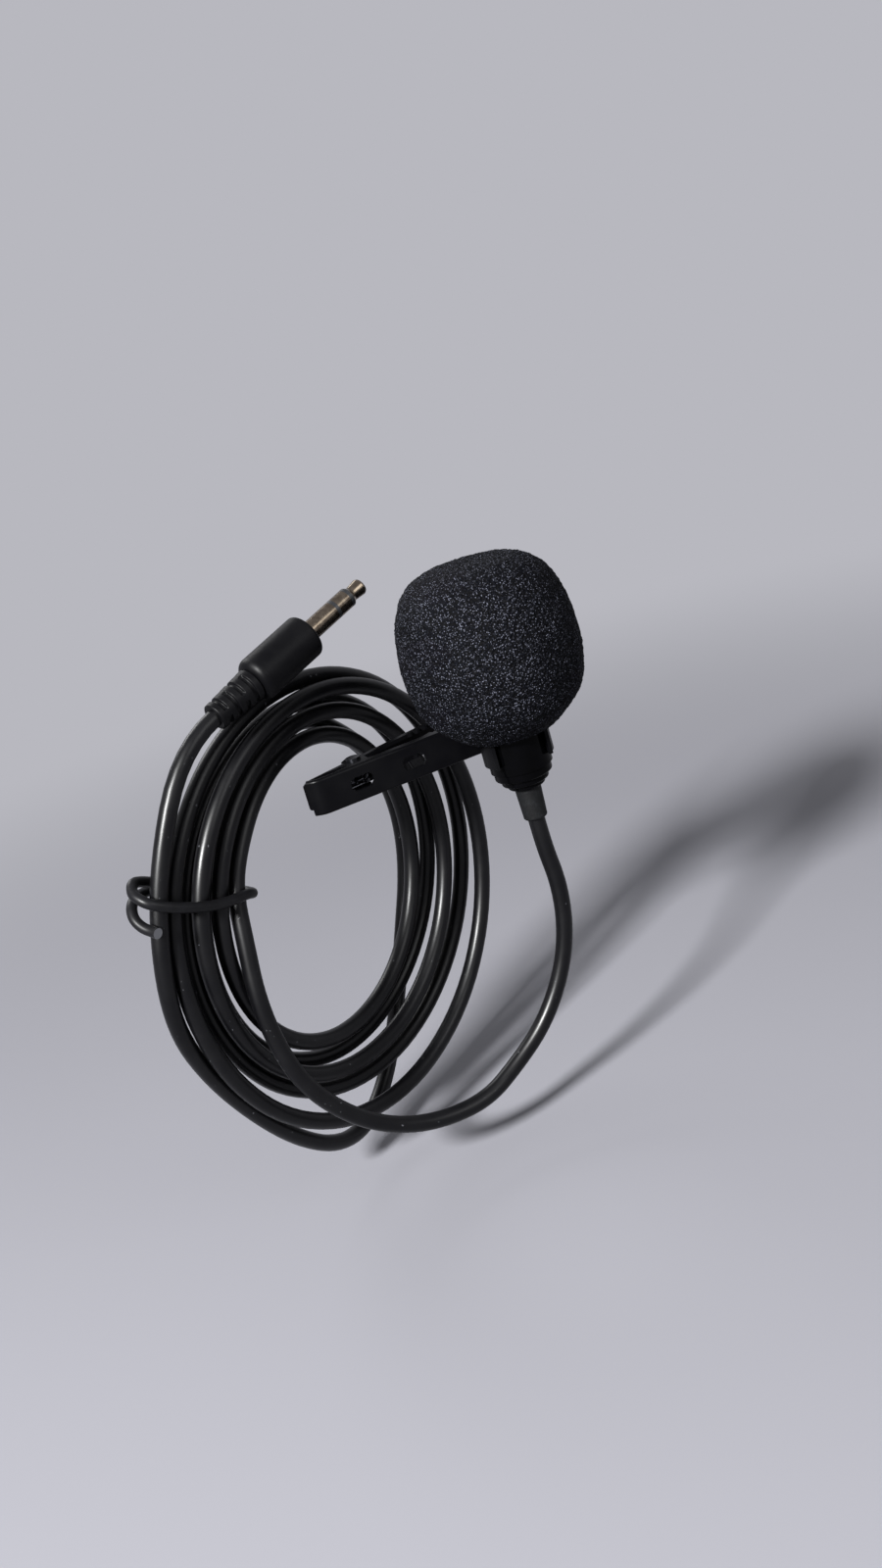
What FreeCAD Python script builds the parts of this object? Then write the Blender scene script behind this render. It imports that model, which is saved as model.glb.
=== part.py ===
import FreeCAD, Part
import math
import os
import Sketcher
from FreeCAD import Placement, Rotation, Vector

os.makedirs("parts", exist_ok=True)
document = FreeCAD.newDocument("clip_on_microphone")

# Independent sizes, in millimetres and degrees
SIZES = {
    # spring clip, two folded sheet arms on one pin
    "sheet_thickness": 0.7,
    "front_half_height": 3.2,
    "arm_side_gap": 0.1,
    "jaw_reach": 28.0,
    "grip_to_jaw_end": 3.0,
    "lever_reach": 10.0,
    "lever_bend": 42.0,
    "lever_bend_length": 2.0,
    "lever_bend_radius": 3.0,
    "lever_flange_reach": 4.8,
    "fold_radius": 0.5,
    "pin_to_front_web": 3.3,
    "pin_to_rear_web": 2.6,
    "front_flange_edge": 2.3,
    "rear_flange_edge": 1.8,
    "tooth_line": 1.5,
    "tooth_run": 14.0,
    "tooth_pitch": 1.75,
    "tooth_depth": 0.7,
    "front_ear_radius": 2.0,
    "rear_ear_radius": 1.8,
    "rest_opening": 16.3,
    "slot_length": 4.2,
    "slot_height": 2.4,
    "slot_corner": 0.6,
    "slot_first": -0.6,
    "slot_second": 9.3,
    "pin_radius": 0.75,
    "pin_running_gap": 0.05,
    "pin_seat_gap": 0.02,
    "pin_head_radius": 1.3,
    "pin_head_thickness": 0.4,
    "spring_wire": 0.6,
    "spring_mean_radius": 1.5,
    "spring_turns": 2.0,
    "spring_pitch": 1.05,
    "spring_leg": 7.0,
    "spring_seat_gap": 0.3,
    "spring_travel_gap": 0.5,
    # holder ring and its rivet
    "ring_wall": 0.6,
    "ring_running_gap": 0.06,
    "ring_top": 0.4,
    "ring_height": 4.4,
    "foot_half_width": 2.5,
    "ring_opening_from": 207.0,
    "ring_opening_to": 310.0,
    "ring_lip": 1.2,
    "foot_rise": 0.3,
    "foot_drop": 0.8,
    "foot_shift": 0.7,
    "rivet_radius": 0.6,
    "rivet_head_radius": 1.05,
    "rivet_head_thickness": 0.5,
    "rivet_height": -1.3,
    "seat_gap": 0.05,
    # microphone housing
    "housing_radius": 5.5,
    "housing_wall": 0.6,
    "housing_bottom": -5.7,
    "housing_top": 7.5,
    "rim_lip": 0.6,
    "rim_thickness": 0.4,
    "cap_spigot": 1.4,
    "cap_first_radius": 5.1,
    "cap_first_drop": 1.6,
    "cap_second_radius": 4.2,
    "cap_second_drop": 1.2,
    "cap_third_radius": 3.3,
    "cap_third_drop": 0.9,
    "cap_rounding": 0.35,
    "boot_radius": 2.35,
    "boot_end_radius": 2.1,
    "boot_drop": 6.1,
    "boot_collar_radius": 2.9,
    "boot_collar_height": 0.8,
    "boot_collar_depth": 1.4,
    "boot_rounding": 0.4,
    "grille_thickness": 0.4,
    "grille_hole_radius": 0.45,
    "grille_hole_circle": 2.4,
    "grille_outer_circle": 3.8,
    "gasket_height": 0.6,
    "gasket_inner_radius": 3.4,
    "can_wall": 0.25,
    "can_height": 5.0,
    "can_port_radius": 1.0,
    "film_thickness": 0.15,
    "film_spacer_height": 0.3,
    "back_plate_height": 0.5,
    "inner_cup_wall": 0.5,
    "inner_cup_height": 2.2,
    "board_height": 0.6,
    "chip_length": 2.0,
    "chip_width": 1.4,
    "chip_height": 0.9,
    "stack_gap": 0.04,
    "conductor_radius": 0.35,
    "conductor_spacing": 0.8,
    "crimp_wall": 0.5,
    "crimp_height": 1.0,
    # foam windscreen
    "foam_radius": 15.7,
    "foam_bottom": 3.5,
    "foam_neck_radius": 8.0,
    "foam_top": 31.2,
    "foam_crown_radius": 8.0,
    "foam_widest": 15.8,
    "foam_shoulder_radius": 15.1,
    "foam_shoulder_spread": 5.0,
    "foam_bore_gap": 0.05,
    "foam_bore_roof_gap": 0.3,
    # cord, coil and tie
    "cord_radius": 1.5,
    "cord_bore_gap": 0.05,
    "coil_x": -34.0,
    "coil_y": -1.1,
    "coil_z": -18.0,
    "coil_yaw": 35.0,
    "coil_tilt": 3.0,
    "coil_radius": 38.3,
    "coil_pitch_tied": 3.9,
    "coil_pitch_free": 7.5,
    "coil_pitch_low": 1.0,
    "coil_sag": 2.2,
    "coil_belly": 7.0,
    "coil_layer_tied": 4.4,
    "coil_layer_free": 4.0,
    "coil_start": 0.29,
    "coil_turn_back": 2.75,
    "coil_end": 5.5,
    "lead_boot_run": 5.5,
    "coil_join_run": 4.2,
    "plug_entry_run": 8.0,
    "tie_radius": 0.9,
    "tie_angle": 110.0,
    "tie_centre": 36.0,
    # plug
    "plug_x": -48.23,
    "plug_y": -15.64,
    "plug_z": 21.33,
    "plug_heading": 18.04,
    "plug_rise": 16.36,
    "relief_length": 9.05,
    "relief_start_radius": 2.35,
    "relief_end_radius": 2.9,
    "relief_groove_depth": 0.4,
    "relief_rib_width": 1.2,
    "relief_groove_width": 0.75,
    "relief_first_rib": 1.2,
    "relief_neck_radius": 2.2,
    "relief_neck_length": 2.0,
    "barrel_radius": 3.9,
    "barrel_length": 13.2,
    "barrel_wall": 0.9,
    "barrel_front_wall": 2.0,
    "barrel_back_rounding": 1.5,
    "barrel_front_rounding": 0.7,
    "shaft_radius": 1.75,
    "shaft_length": 14.0,
    "shaft_wall": 0.75,
    "sleeve_stem_radius": 1.4,
    "sleeve_length": 6.5,
    "sleeve_tail": 2.6,
    "sleeve_flange_radius": 2.6,
    "sleeve_flange_height": 0.6,
    "band_length": 2.7,
    "insulator_length": 0.7,
    "tip_neck_radius": 1.28,
    "tip_bulb_radius": 1.47,
    "tip_nose_radius": 0.85,
    "tip_rod_radius": 0.5,
    "tip_rod_tail": 6.0,
}

sheet = document.addObject("Spreadsheet::Sheet", "sizes")
for row, (name, number) in enumerate(SIZES.items(), start=1):
    sheet.set(f"A{row}", name)
    sheet.set(f"B{row}", str(number))
    sheet.setAlias(f"B{row}", name)
document.recompute()


class Measure:
    """A length that knows the sheet formula it comes from."""

    def __init__(self, value, text):
        self.value = value
        self.text = text

    def __add__(self, other):
        other = as_measure(other)
        return Measure(self.value + other.value, f"({self.text} + {other.text})")

    def __sub__(self, other):
        other = as_measure(other)
        return Measure(self.value - other.value, f"({self.text} - {other.text})")

    def __mul__(self, factor):
        factor = as_measure(factor)
        return Measure(self.value * factor.value, f"({self.text} * {factor.text})")

    def __neg__(self):
        return Measure(-self.value, f"(0 - {self.text})")


def as_measure(number):
    if isinstance(number, Measure):
        return number
    return Measure(float(number), repr(float(number)))


def size(name):
    return Measure(float(sheet.get(name)), "sizes." + name)


def value(name):
    return float(sheet.get(name))


# Sketches and features, all driven by the sheet
def origin_plane(body, role):
    return [item for item in body.Origin.OriginFeatures if item.Role == role][0]


def new_body(label, placement=None):
    body = document.addObject("PartDesign::Body", label)
    body.Label = label
    if placement is not None:
        body.Placement = placement
    return body


def new_sketch(body, name, role):
    sketch = body.newObject("Sketcher::SketchObject", name)
    sketch.AttachmentSupport = (origin_plane(body, role), [""])
    sketch.MapMode = "FlatFace"
    return sketch


def bind(sketch, kind, edge, end, measure):
    index = sketch.addConstraint(Sketcher.Constraint(kind, -1, 1, edge, end, measure.value))
    sketch.setExpression(f"Constraints[{index}]", measure.text)


def outline(sketch, points):
    """Closed line through (across, up) corners, each held to the origin by a named measure."""
    corners = [(as_measure(point[0]), as_measure(point[1])) for point in points]
    spots = [Vector(across.value, up.value, 0) for across, up in corners]
    count = len(points)
    first = sketch.GeometryCount
    for index in range(count):
        start = spots[index]
        finish = spots[(index + 1) % count]
        sketch.addGeometry(Part.LineSegment(start, finish), False)
    for index in range(count):
        following = first + (index + 1) % count
        sketch.addConstraint(Sketcher.Constraint("Coincident", first + index, 2, following, 1))
    for index, (across, up) in enumerate(corners):
        bind(sketch, "DistanceX", first + index, 1, across)
        bind(sketch, "DistanceY", first + index, 1, up)


def circle(sketch, across, up, radius):
    across = as_measure(across)
    up = as_measure(up)
    centre = Vector(across.value, up.value, 0)
    edge = sketch.addGeometry(Part.Circle(centre, Vector(0, 0, 1), radius.value), False)
    bind(sketch, "DistanceX", edge, 3, across)
    bind(sketch, "DistanceY", edge, 3, up)
    index = sketch.addConstraint(Sketcher.Constraint("Radius", edge, radius.value))
    sketch.setExpression(f"Constraints[{index}]", radius.text)


def revolve(body, name, points):
    sketch = new_sketch(body, name + "_outline", "XZ_Plane")
    outline(sketch, points)
    feature = body.newObject("PartDesign::Revolution", name)
    feature.Profile = sketch
    feature.ReferenceAxis = (sketch, ["V_Axis"])
    feature.Angle = 360
    return feature


def pad(body, name, sketch, length, midplane=True):
    feature = body.newObject("PartDesign::Pad", name)
    feature.Profile = sketch
    feature.Length = length.value
    feature.setExpression("Length", length.text)
    feature.Midplane = midplane
    return feature


def pocket(body, name, sketch, length):
    """Cut both ways from the sketch plane, length in all."""
    feature = body.newObject("PartDesign::Pocket", name)
    feature.Profile = sketch
    feature.Type = 0
    feature.Length = length.value
    feature.setExpression("Length", length.text)
    feature.Midplane = True
    return feature


def fillet(body, name, base, chosen, radius):
    """Round the edges of a feature that the chosen test picks."""
    document.recompute()
    names = [f"Edge{index}" for index, edge in enumerate(base.Shape.Edges, start=1) if chosen(edge)]
    feature = body.newObject("PartDesign::Fillet", name)
    feature.Base = (base, names)
    feature.Radius = radius.value
    feature.setExpression("Radius", radius.text)
    return feature


def is_rim(edge, radius, height):
    """True for a full circle of this radius at this height."""
    curve = edge.Curve
    if not isinstance(curve, Part.Circle):
        return False
    return abs(curve.Radius - radius) < 1e-4 and abs(curve.Center.z - height) < 1e-4


# Where the main pieces stand
opening = math.radians(value("rest_opening"))
hinge_x = value("grip_to_jaw_end") - value("jaw_reach")
grip_arm = value("jaw_reach") - value("grip_to_jaw_end")
hinge_y = -(grip_arm * math.sin(opening) + value("tooth_line") * (math.cos(opening) - 1)) / 2
hinge_spot = Vector(hinge_x, hinge_y, 0)
ring_outer = value("housing_radius") + value("ring_running_gap") + value("ring_wall")
front_face_y = hinge_y - value("pin_to_front_web") - value("sheet_thickness")
mic_y = front_face_y - value("foot_rise") - ring_outer
mic_spot = Vector(value("foot_shift"), mic_y, 0)
mic_place = Placement(mic_spot, Rotation())
front_place = Placement(hinge_spot, Rotation())
rear_place = Placement(hinge_spot, Rotation(Vector(0, 0, 1), value("rest_opening")))

heading = math.radians(value("plug_heading"))
rise = math.radians(value("plug_rise"))
plug_root = Vector(value("plug_x"), value("plug_y"), value("plug_z"))
plug_axis = Vector(math.cos(rise) * math.cos(heading), math.cos(rise) * math.sin(heading), math.sin(rise))
plug_place = Placement(plug_root, Rotation(Vector(0, 0, 1), plug_axis))

sheet_t = size("sheet_thickness")
front_inner_half = size("front_half_height") - sheet_t
rear_half = front_inner_half - size("arm_side_gap")
rear_inner_half = rear_half - sheet_t


# Clip arms: sheet folded down both sides from the pin to the toothed jaw, with a bent lever end
def arm_side(body, side, web, edge, ear_radius, half_height, inner_half):
    """side is -1 for the front arm, whose web faces -Y, and +1 for the rear arm."""
    web_outer = web + sheet_t
    lever = -size("lever_reach")
    jaw = size("jaw_reach")
    teeth_start = jaw - size("tooth_run")
    tooth_line = size("tooth_line")
    ramp = (edge - tooth_line) * 2
    flange_start = -size("lever_flange_reach")
    bend = math.radians(value("lever_bend"))
    bent = size("lever_bend_length")
    bend_x = lever + bent * math.cos(bend)
    inner_bend_x = bend_x + sheet_t * math.tan(bend / 2)
    tip = web_outer - bent * math.sin(bend)
    sketch = new_sketch(body, "side_outline", "XY_Plane")
    outline(sketch, [
        (bend_x, web_outer * side),
        (jaw, web_outer * side),
        (jaw, tooth_line * side),
        (teeth_start, tooth_line * side),
        (teeth_start - ramp, edge * side),
        (ear_radius, edge * side),
        (ear_radius, ear_radius * (-0.42 * side)),
        (ear_radius * 0.42, ear_radius * -side),
        (ear_radius * -0.42, ear_radius * -side),
        (-ear_radius, ear_radius * (-0.42 * side)),
        (-ear_radius, edge * side),
        (flange_start, web * side),
        (inner_bend_x, web * side),
        (lever + sheet_t * math.sin(bend), (tip - sheet_t * math.cos(bend)) * side),
        (lever, tip * side),
    ])
    block = pad(body, "channel", sketch, half_height * 2)

    def is_bend(across, up):
        def test(line):
            box = line.BoundBox
            on_spot = abs(box.XMin - across.value) < 1e-3 and abs(box.YMin - up.value * side) < 1e-3
            return on_spot and box.XLength < 1e-3 and box.YLength < 1e-3
        return test

    outer_bend = fillet(body, "outer_bend", block, is_bend(bend_x, web_outer), size("lever_bend_radius"))
    inner_bend = fillet(body, "inner_bend", outer_bend, is_bend(inner_bend_x, web),
                        size("lever_bend_radius") - sheet_t)
    fillet(
        body, "folds", inner_bend,
        lambda line: line.BoundBox.YLength < 1e-4 and line.BoundBox.ZLength < 1e-4
        and line.BoundBox.YMax * side > web_outer.value - 1e-3,
        size("fold_radius"),
    )
    inside = new_sketch(body, "inside_outline", "XY_Plane")
    far = ear_radius * -2
    outline(inside, [
        (flange_start, web * side),
        (jaw + sheet_t, web * side),
        (jaw + sheet_t, far * side),
        (flange_start, far * side),
    ])
    pocket(body, "inside", inside, inner_half * 2)


def toothed_jaw(body, side, half_height):
    pitch = size("tooth_pitch")
    first = size("jaw_reach") - size("tooth_run")
    line = size("tooth_line")
    depth = size("tooth_depth")
    above = line - 0.1
    sketch = new_sketch(body, "tooth_outline", "XY_Plane")
    outline(sketch, [
        (first + pitch * 0.15, above * side),
        (first + pitch * 0.3, (line + depth) * side),
        (first + pitch * 0.95, above * side),
    ])
    notch = pocket(body, "tooth", sketch, half_height * 2 + 1)
    pattern = body.newObject("PartDesign::LinearPattern", "teeth")
    pattern.Originals = [notch]
    pattern.Direction = (sketch, ["H_Axis"])
    count = round(value("tooth_run") / value("tooth_pitch"))
    pattern.Length = value("tooth_pitch") * (count - 1)
    pattern.Occurrences = count
    body.Tip = pattern


def pin_hole(body, radius, half_height):
    sketch = new_sketch(body, "pin_hole_outline", "XY_Plane")
    circle(sketch, 0, 0, radius)
    pocket(body, "pin_hole", sketch, half_height * 2 + 1)


def slot(body, name, centre):
    half = size("slot_length") * 0.5
    tall = size("slot_height") * 0.5
    corner = size("slot_corner")
    sketch = new_sketch(body, name + "_outline", "XZ_Plane")
    outline(sketch, [
        (centre - half, corner - tall),
        (centre - half + corner, -tall),
        (centre + half - corner, -tall),
        (centre + half, corner - tall),
        (centre + half, tall - corner),
        (centre + half - corner, tall),
        (centre - half + corner, tall),
        (centre - half, tall - corner),
    ])
    pocket(body, name, sketch, (size("pin_to_front_web") + sheet_t) * 2 + 1)


def make_front_arm():
    body = new_body("clip_front_arm", front_place)
    half = size("front_half_height")
    arm_side(body, -1, size("pin_to_front_web"), size("front_flange_edge"),
             size("front_ear_radius"), half, front_inner_half)
    pin_hole(body, size("pin_radius") + size("pin_seat_gap"), half)
    slot(body, "slot_first", size("slot_first"))
    slot(body, "slot_second", size("slot_second"))
    sketch = new_sketch(body, "rivet_hole_outline", "XZ_Plane")
    circle(sketch, size("jaw_reach") - size("grip_to_jaw_end") + size("foot_shift"), size("rivet_height"),
           size("rivet_radius") + size("seat_gap"))
    pocket(body, "rivet_hole", sketch, (size("pin_to_front_web") + sheet_t) * 2 + 1)
    toothed_jaw(body, -1, half)
    return body


def make_rear_arm():
    body = new_body("clip_rear_arm", rear_place)
    arm_side(body, 1, size("pin_to_rear_web"), size("rear_flange_edge"),
             size("rear_ear_radius"), rear_half, rear_inner_half)
    pin_hole(body, size("pin_radius") + size("pin_running_gap"), rear_half)
    toothed_jaw(body, 1, rear_half)
    return body


def make_hinge_pin():
    """Peened pin through both pairs of ears."""
    body = new_body("clip_hinge_pin", front_place)
    half = size("front_half_height")
    top = half + size("pin_head_thickness")
    shank = size("pin_radius")
    head = size("pin_head_radius")
    revolve(body, "pin", [(0, -top), (head, -top), (head, -half), (shank, -half),
                          (shank, half), (head, half), (head, top), (0, top)])
    return body


# Holder ring, foot and rivet
def make_holder_ring():
    """Spring band, open at the front between two flared lips, on a foot that the rivet holds."""
    body = new_body("mic_holder_ring", mic_place)
    inner = size("housing_radius") + size("ring_running_gap")
    outer = inner + size("ring_wall")
    top = size("ring_top")
    bottom = top - size("ring_height")
    revolve(body, "band", [(inner, bottom), (outer, bottom), (outer, top), (inner, top)])
    seat = outer + size("foot_rise")
    half = size("foot_half_width")
    sketch = new_sketch(body, "foot_outline", "XZ_Plane")
    foot_bottom = bottom + size("foot_drop")
    outline(sketch, [(-half, foot_bottom), (half, foot_bottom), (half, top), (-half, top)])
    foot = body.newObject("PartDesign::Pad", "foot")
    foot.Profile = sketch
    foot.Length = seat.value
    foot.setExpression("Length", seat.text)
    foot.Reversed = True
    clear = new_sketch(body, "bore_outline", "XY_Plane")
    circle(clear, 0, 0, inner)
    pocket(body, "bore", clear, size("ring_height") * 4)
    begin = math.radians(value("ring_opening_from"))
    finish = math.radians(value("ring_opening_to"))
    middle = (begin + finish) / 2
    far = outer * 2
    gate = new_sketch(body, "opening_outline", "XY_Plane")
    rays = [(far * math.cos(angle), far * math.sin(angle)) for angle in (begin, middle, finish)]
    outline(gate, [(0, 0)] + rays)
    pocket(body, "opening", gate, size("ring_height") * 4)
    for name, angle, turn in (("left_lip", begin, 1), ("right_lip", finish, -1)):
        ring_lip(body, name, angle, turn, inner, bottom)
    hole = new_sketch(body, "rivet_hole_outline", "XZ_Plane")
    circle(hole, 0, size("rivet_height"), size("rivet_radius") + size("seat_gap"))
    cut = body.newObject("PartDesign::Pocket", "rivet_hole")
    cut.Profile = hole
    cut.Length = seat.value + 1
    cut.setExpression("Length", (seat + 1).text)
    cut.Reversed = False
    return body


def ring_lip(body, name, angle, turn, inner, bottom):
    """Short flat lip that leaves the band's end at 45 degrees to it."""
    radial = (math.cos(angle), math.sin(angle))
    flare = angle + turn * math.pi / 4
    ahead = (math.cos(flare), math.sin(flare))
    square = (turn * math.sin(flare), -turn * math.cos(flare))
    lip = size("ring_lip")
    wall = size("ring_wall")
    root = [inner * share for share in radial]
    sketch = new_sketch(body, name + "_outline", "XY_Plane")
    sketch.AttachmentOffset = Placement(Vector(0, 0, bottom.value), Rotation())
    sketch.setExpression("AttachmentOffset.Base.z", bottom.text)
    outline(sketch, [
        (root[0], root[1]),
        (root[0] + lip * ahead[0], root[1] + lip * ahead[1]),
        (root[0] + lip * ahead[0] + wall * square[0], root[1] + lip * ahead[1] + wall * square[1]),
        (root[0] + wall * square[0], root[1] + wall * square[1]),
    ])
    pad(body, name, sketch, size("ring_height"), midplane=False)


def make_holder_rivet():
    """The shank ends short of the ring's bore, and the head lies on the arm's inner face."""
    start = ring_outer - value("ring_wall") * 0.5
    length = value("foot_rise") + value("ring_wall") * 0.5 + value("sheet_thickness")
    spot = mic_spot + Vector(0, start, value("rivet_height"))
    body = new_body("holder_rivet", Placement(spot, Rotation(Vector(1, 0, 0), -90)))
    shank = size("foot_rise") + size("ring_wall") * 0.5 + sheet_t
    radius = size("rivet_radius")
    head = size("rivet_head_radius")
    end = shank + size("rivet_head_thickness")
    revolve(body, "rivet", [(0, 0), (radius, 0), (radius, shank), (head, shank), (head * 0.7, end), (0, end)])
    return body


# Microphone housing, capsule and boot, all round the microphone's own axis
housing_inner = size("housing_radius") - size("housing_wall")
fit_radius = housing_inner - size("seat_gap")
grille_top = size("housing_top") - size("rim_thickness") - size("stack_gap")
grille_bottom = grille_top - size("grille_thickness")
gasket_top = grille_bottom - size("stack_gap")
gasket_bottom = gasket_top - size("gasket_height")
can_top = gasket_bottom - size("stack_gap")
can_bottom = can_top - size("can_height")
can_inner = fit_radius - size("can_wall")
core_radius = can_inner - size("seat_gap")
film_top = can_top - size("can_wall") - size("stack_gap")
film_bottom = film_top - size("film_thickness")
spacer_top = film_bottom - size("stack_gap")
spacer_bottom = spacer_top - size("film_spacer_height")
plate_top = spacer_bottom - size("stack_gap")
plate_bottom = plate_top - size("back_plate_height")
cup_top = plate_bottom - size("stack_gap")
cup_bottom = cup_top - size("inner_cup_height")
board_top = cup_bottom - size("stack_gap")
board_bottom = board_top - size("board_height")
cap_first_end = size("housing_bottom") - size("cap_first_drop")
cap_second_end = cap_first_end - size("cap_second_drop")
cap_third_end = cap_second_end - size("cap_third_drop")
boot_end = cap_third_end - size("boot_drop")
cord_bore = size("cord_radius") + size("cord_bore_gap")
boot_bore = size("boot_radius") + size("seat_gap")
collar_bottom = cap_third_end + size("boot_collar_depth")
collar_top = collar_bottom + size("boot_collar_height")
crimp_bottom = collar_top + size("stack_gap")
crimp_top = crimp_bottom + size("crimp_height")


def make_housing_tube():
    body = new_body("housing_tube", mic_place)
    outer = size("housing_radius")
    bottom = size("housing_bottom")
    top = size("housing_top")
    lip = housing_inner - size("rim_lip")
    under = top - size("rim_thickness")
    revolve(body, "tube", [(housing_inner, bottom), (outer, bottom), (outer, top), (lip, top),
                           (lip, under), (housing_inner, under)])
    return body


def make_end_cap():
    """Stepped plug in the housing's foot; the boot's collar sits in its counterbore."""
    body = new_body("housing_end_cap", mic_place)
    bottom = size("housing_bottom")
    spigot = bottom + size("cap_spigot")
    first = size("cap_first_radius")
    second = size("cap_second_radius")
    third = size("cap_third_radius")
    collar = size("boot_collar_radius") + size("seat_gap")
    revolved = revolve(body, "cap", [
        (collar, spigot), (fit_radius, spigot), (fit_radius, bottom), (first, bottom),
        (first, cap_first_end), (second, cap_first_end), (second, cap_second_end),
        (third, cap_second_end), (third, cap_third_end), (boot_bore, cap_third_end),
        (boot_bore, collar_bottom), (collar, collar_bottom),
    ])
    fillet(body, "steps", revolved,
           lambda edge: is_rim(edge, first.value, cap_first_end.value)
           or is_rim(edge, second.value, cap_second_end.value)
           or is_rim(edge, third.value, cap_third_end.value),
           size("cap_rounding"))
    return body


def make_boot():
    body = new_body("cable_boot", mic_place)
    outer = size("boot_radius")
    end = size("boot_end_radius")
    collar = size("boot_collar_radius")
    revolved = revolve(body, "boot", [
        (cord_bore, boot_end), (end, boot_end), (outer, cap_third_end), (outer, collar_bottom),
        (collar, collar_bottom), (collar, collar_top), (cord_bore, collar_top),
    ])
    fillet(body, "rounding", revolved,
           lambda edge: is_rim(edge, end.value, boot_end.value), size("boot_rounding"))
    return body


def make_grille():
    body = new_body("grille_disc", mic_place)
    revolve(body, "disc", [(0, grille_bottom), (fit_radius, grille_bottom), (fit_radius, grille_top),
                           (0, grille_top)])
    sketch = new_sketch(body, "hole_outline", "XY_Plane")
    hole = size("grille_hole_radius")
    circle(sketch, 0, 0, hole)
    rings = ((6, size("grille_hole_circle")), (10, size("grille_outer_circle")))
    for count, reach in rings:
        for index in range(count):
            angle = 2 * math.pi * index / count
            circle(sketch, reach * math.cos(angle), reach * math.sin(angle), hole)
    pocket(body, "holes", sketch, size("housing_top") * 4)
    return body


def make_capsule():
    """Electret capsule, from the gasket under the grille down to its board."""
    gasket = new_body("capsule_gasket", mic_place)
    inner = size("gasket_inner_radius")
    revolve(gasket, "ring", [(inner, gasket_bottom), (fit_radius, gasket_bottom), (fit_radius, gasket_top),
                             (inner, gasket_top)])
    can = new_body("capsule_can", mic_place)
    port = size("can_port_radius")
    under = can_top - size("can_wall")
    revolve(can, "can", [(can_inner, can_bottom), (fit_radius, can_bottom), (fit_radius, can_top),
                         (port, can_top), (port, under), (can_inner, under)])
    film = new_body("capsule_film", mic_place)
    revolve(film, "film", [(0, film_bottom), (core_radius, film_bottom), (core_radius, film_top),
                           (0, film_top)])
    spacer = new_body("capsule_spacer", mic_place)
    reach = core_radius - size("inner_cup_wall")
    revolve(spacer, "ring", [(reach, spacer_bottom), (core_radius, spacer_bottom), (core_radius, spacer_top),
                             (reach, spacer_top)])
    plate = new_body("capsule_back_plate", mic_place)
    revolve(plate, "plate", [(0, plate_bottom), (core_radius, plate_bottom), (core_radius, plate_top),
                             (0, plate_top)])
    cup = new_body("capsule_insulator", mic_place)
    revolve(cup, "cup", [(reach, cup_bottom), (core_radius, cup_bottom), (core_radius, cup_top),
                         (reach, cup_top)])
    board = new_body("capsule_board", mic_place)
    revolve(board, "board", [(0, board_bottom), (core_radius, board_bottom), (core_radius, board_top),
                             (0, board_top)])
    return [gasket, can, film, spacer, plate, cup, board]


def make_chip():
    body = new_body("capsule_amplifier", mic_place)
    length = size("chip_length") * 0.5
    width = size("chip_width") * 0.5
    sketch = new_sketch(body, "chip_outline", "XZ_Plane")
    low = board_top + size("stack_gap")
    high = low + size("chip_height")
    outline(sketch, [(-length, low), (length, low), (length, high), (-length, high)])
    pad(body, "chip", sketch, width * 2)
    return body


def make_cord_end():
    """Last of the cord inside the boot, its crimp, and two conductors up to the board."""
    stub = new_body("cord_end_in_housing", mic_place)
    cord = size("cord_radius")
    revolve(stub, "cord", [(0, boot_end), (cord, boot_end), (cord, crimp_top), (0, crimp_top)])
    crimp = new_body("cord_crimp", mic_place)
    outer = cord_bore + size("crimp_wall")
    revolve(crimp, "crimp", [(cord_bore, crimp_bottom), (outer, crimp_bottom), (outer, crimp_top),
                             (cord_bore, crimp_top)])
    wires = new_body("cord_conductors", mic_place)
    low = crimp_top + size("stack_gap")
    high = board_bottom - size("stack_gap")
    gap = size("conductor_spacing")
    radius = size("conductor_radius")
    sketch = new_sketch(wires, "conductor_outline", "XZ_Plane")
    outline(sketch, [(gap - radius, low), (gap + radius, low), (gap + radius, high), (gap - radius, high)])
    pad(wires, "first_conductor", sketch, radius * 2)
    return [stub, crimp, wires]


def make_windscreen():
    """Foam ball with a blind bore that grips the housing."""
    body = new_body("foam_windscreen", mic_place)
    bore = size("housing_radius") + size("foam_bore_gap")
    roof = size("housing_top") + size("foam_bore_roof_gap")
    bottom = size("foam_bottom")
    top = size("foam_top")
    widest = size("foam_radius")
    middle = size("foam_widest")
    spread = size("foam_shoulder_spread")
    shoulder = size("foam_shoulder_radius")
    neck = size("foam_neck_radius")
    crown = size("foam_crown_radius")
    rise_low = middle - spread - bottom
    rise_high = top - middle - spread
    sketch = new_sketch(body, "foam_outline", "XZ_Plane")
    corners = [
        (bore, bottom), (neck, bottom),
        (neck + (shoulder - neck) * 0.44, bottom + rise_low * 0.13),
        (neck + (shoulder - neck) * 0.75, bottom + rise_low * 0.36),
        (neck + (shoulder - neck) * 0.92, bottom + rise_low * 0.66),
        (shoulder, middle - spread),
        (widest, middle - spread * 0.35), (widest, middle + spread * 0.35),
        (shoulder, middle + spread),
        (crown + (shoulder - crown) * 0.88, middle + spread + rise_high * 0.4),
        (crown + (shoulder - crown) * 0.58, middle + spread + rise_high * 0.76),
        (crown, top - rise_high * 0.04),
        (crown * 0.55, top), (0, top), (0, roof), (bore, roof),
    ]
    outline(sketch, corners)
    feature = body.newObject("PartDesign::Revolution", "foam")
    feature.Profile = sketch
    feature.ReferenceAxis = (sketch, ["V_Axis"])
    feature.Angle = 360
    return body


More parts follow.
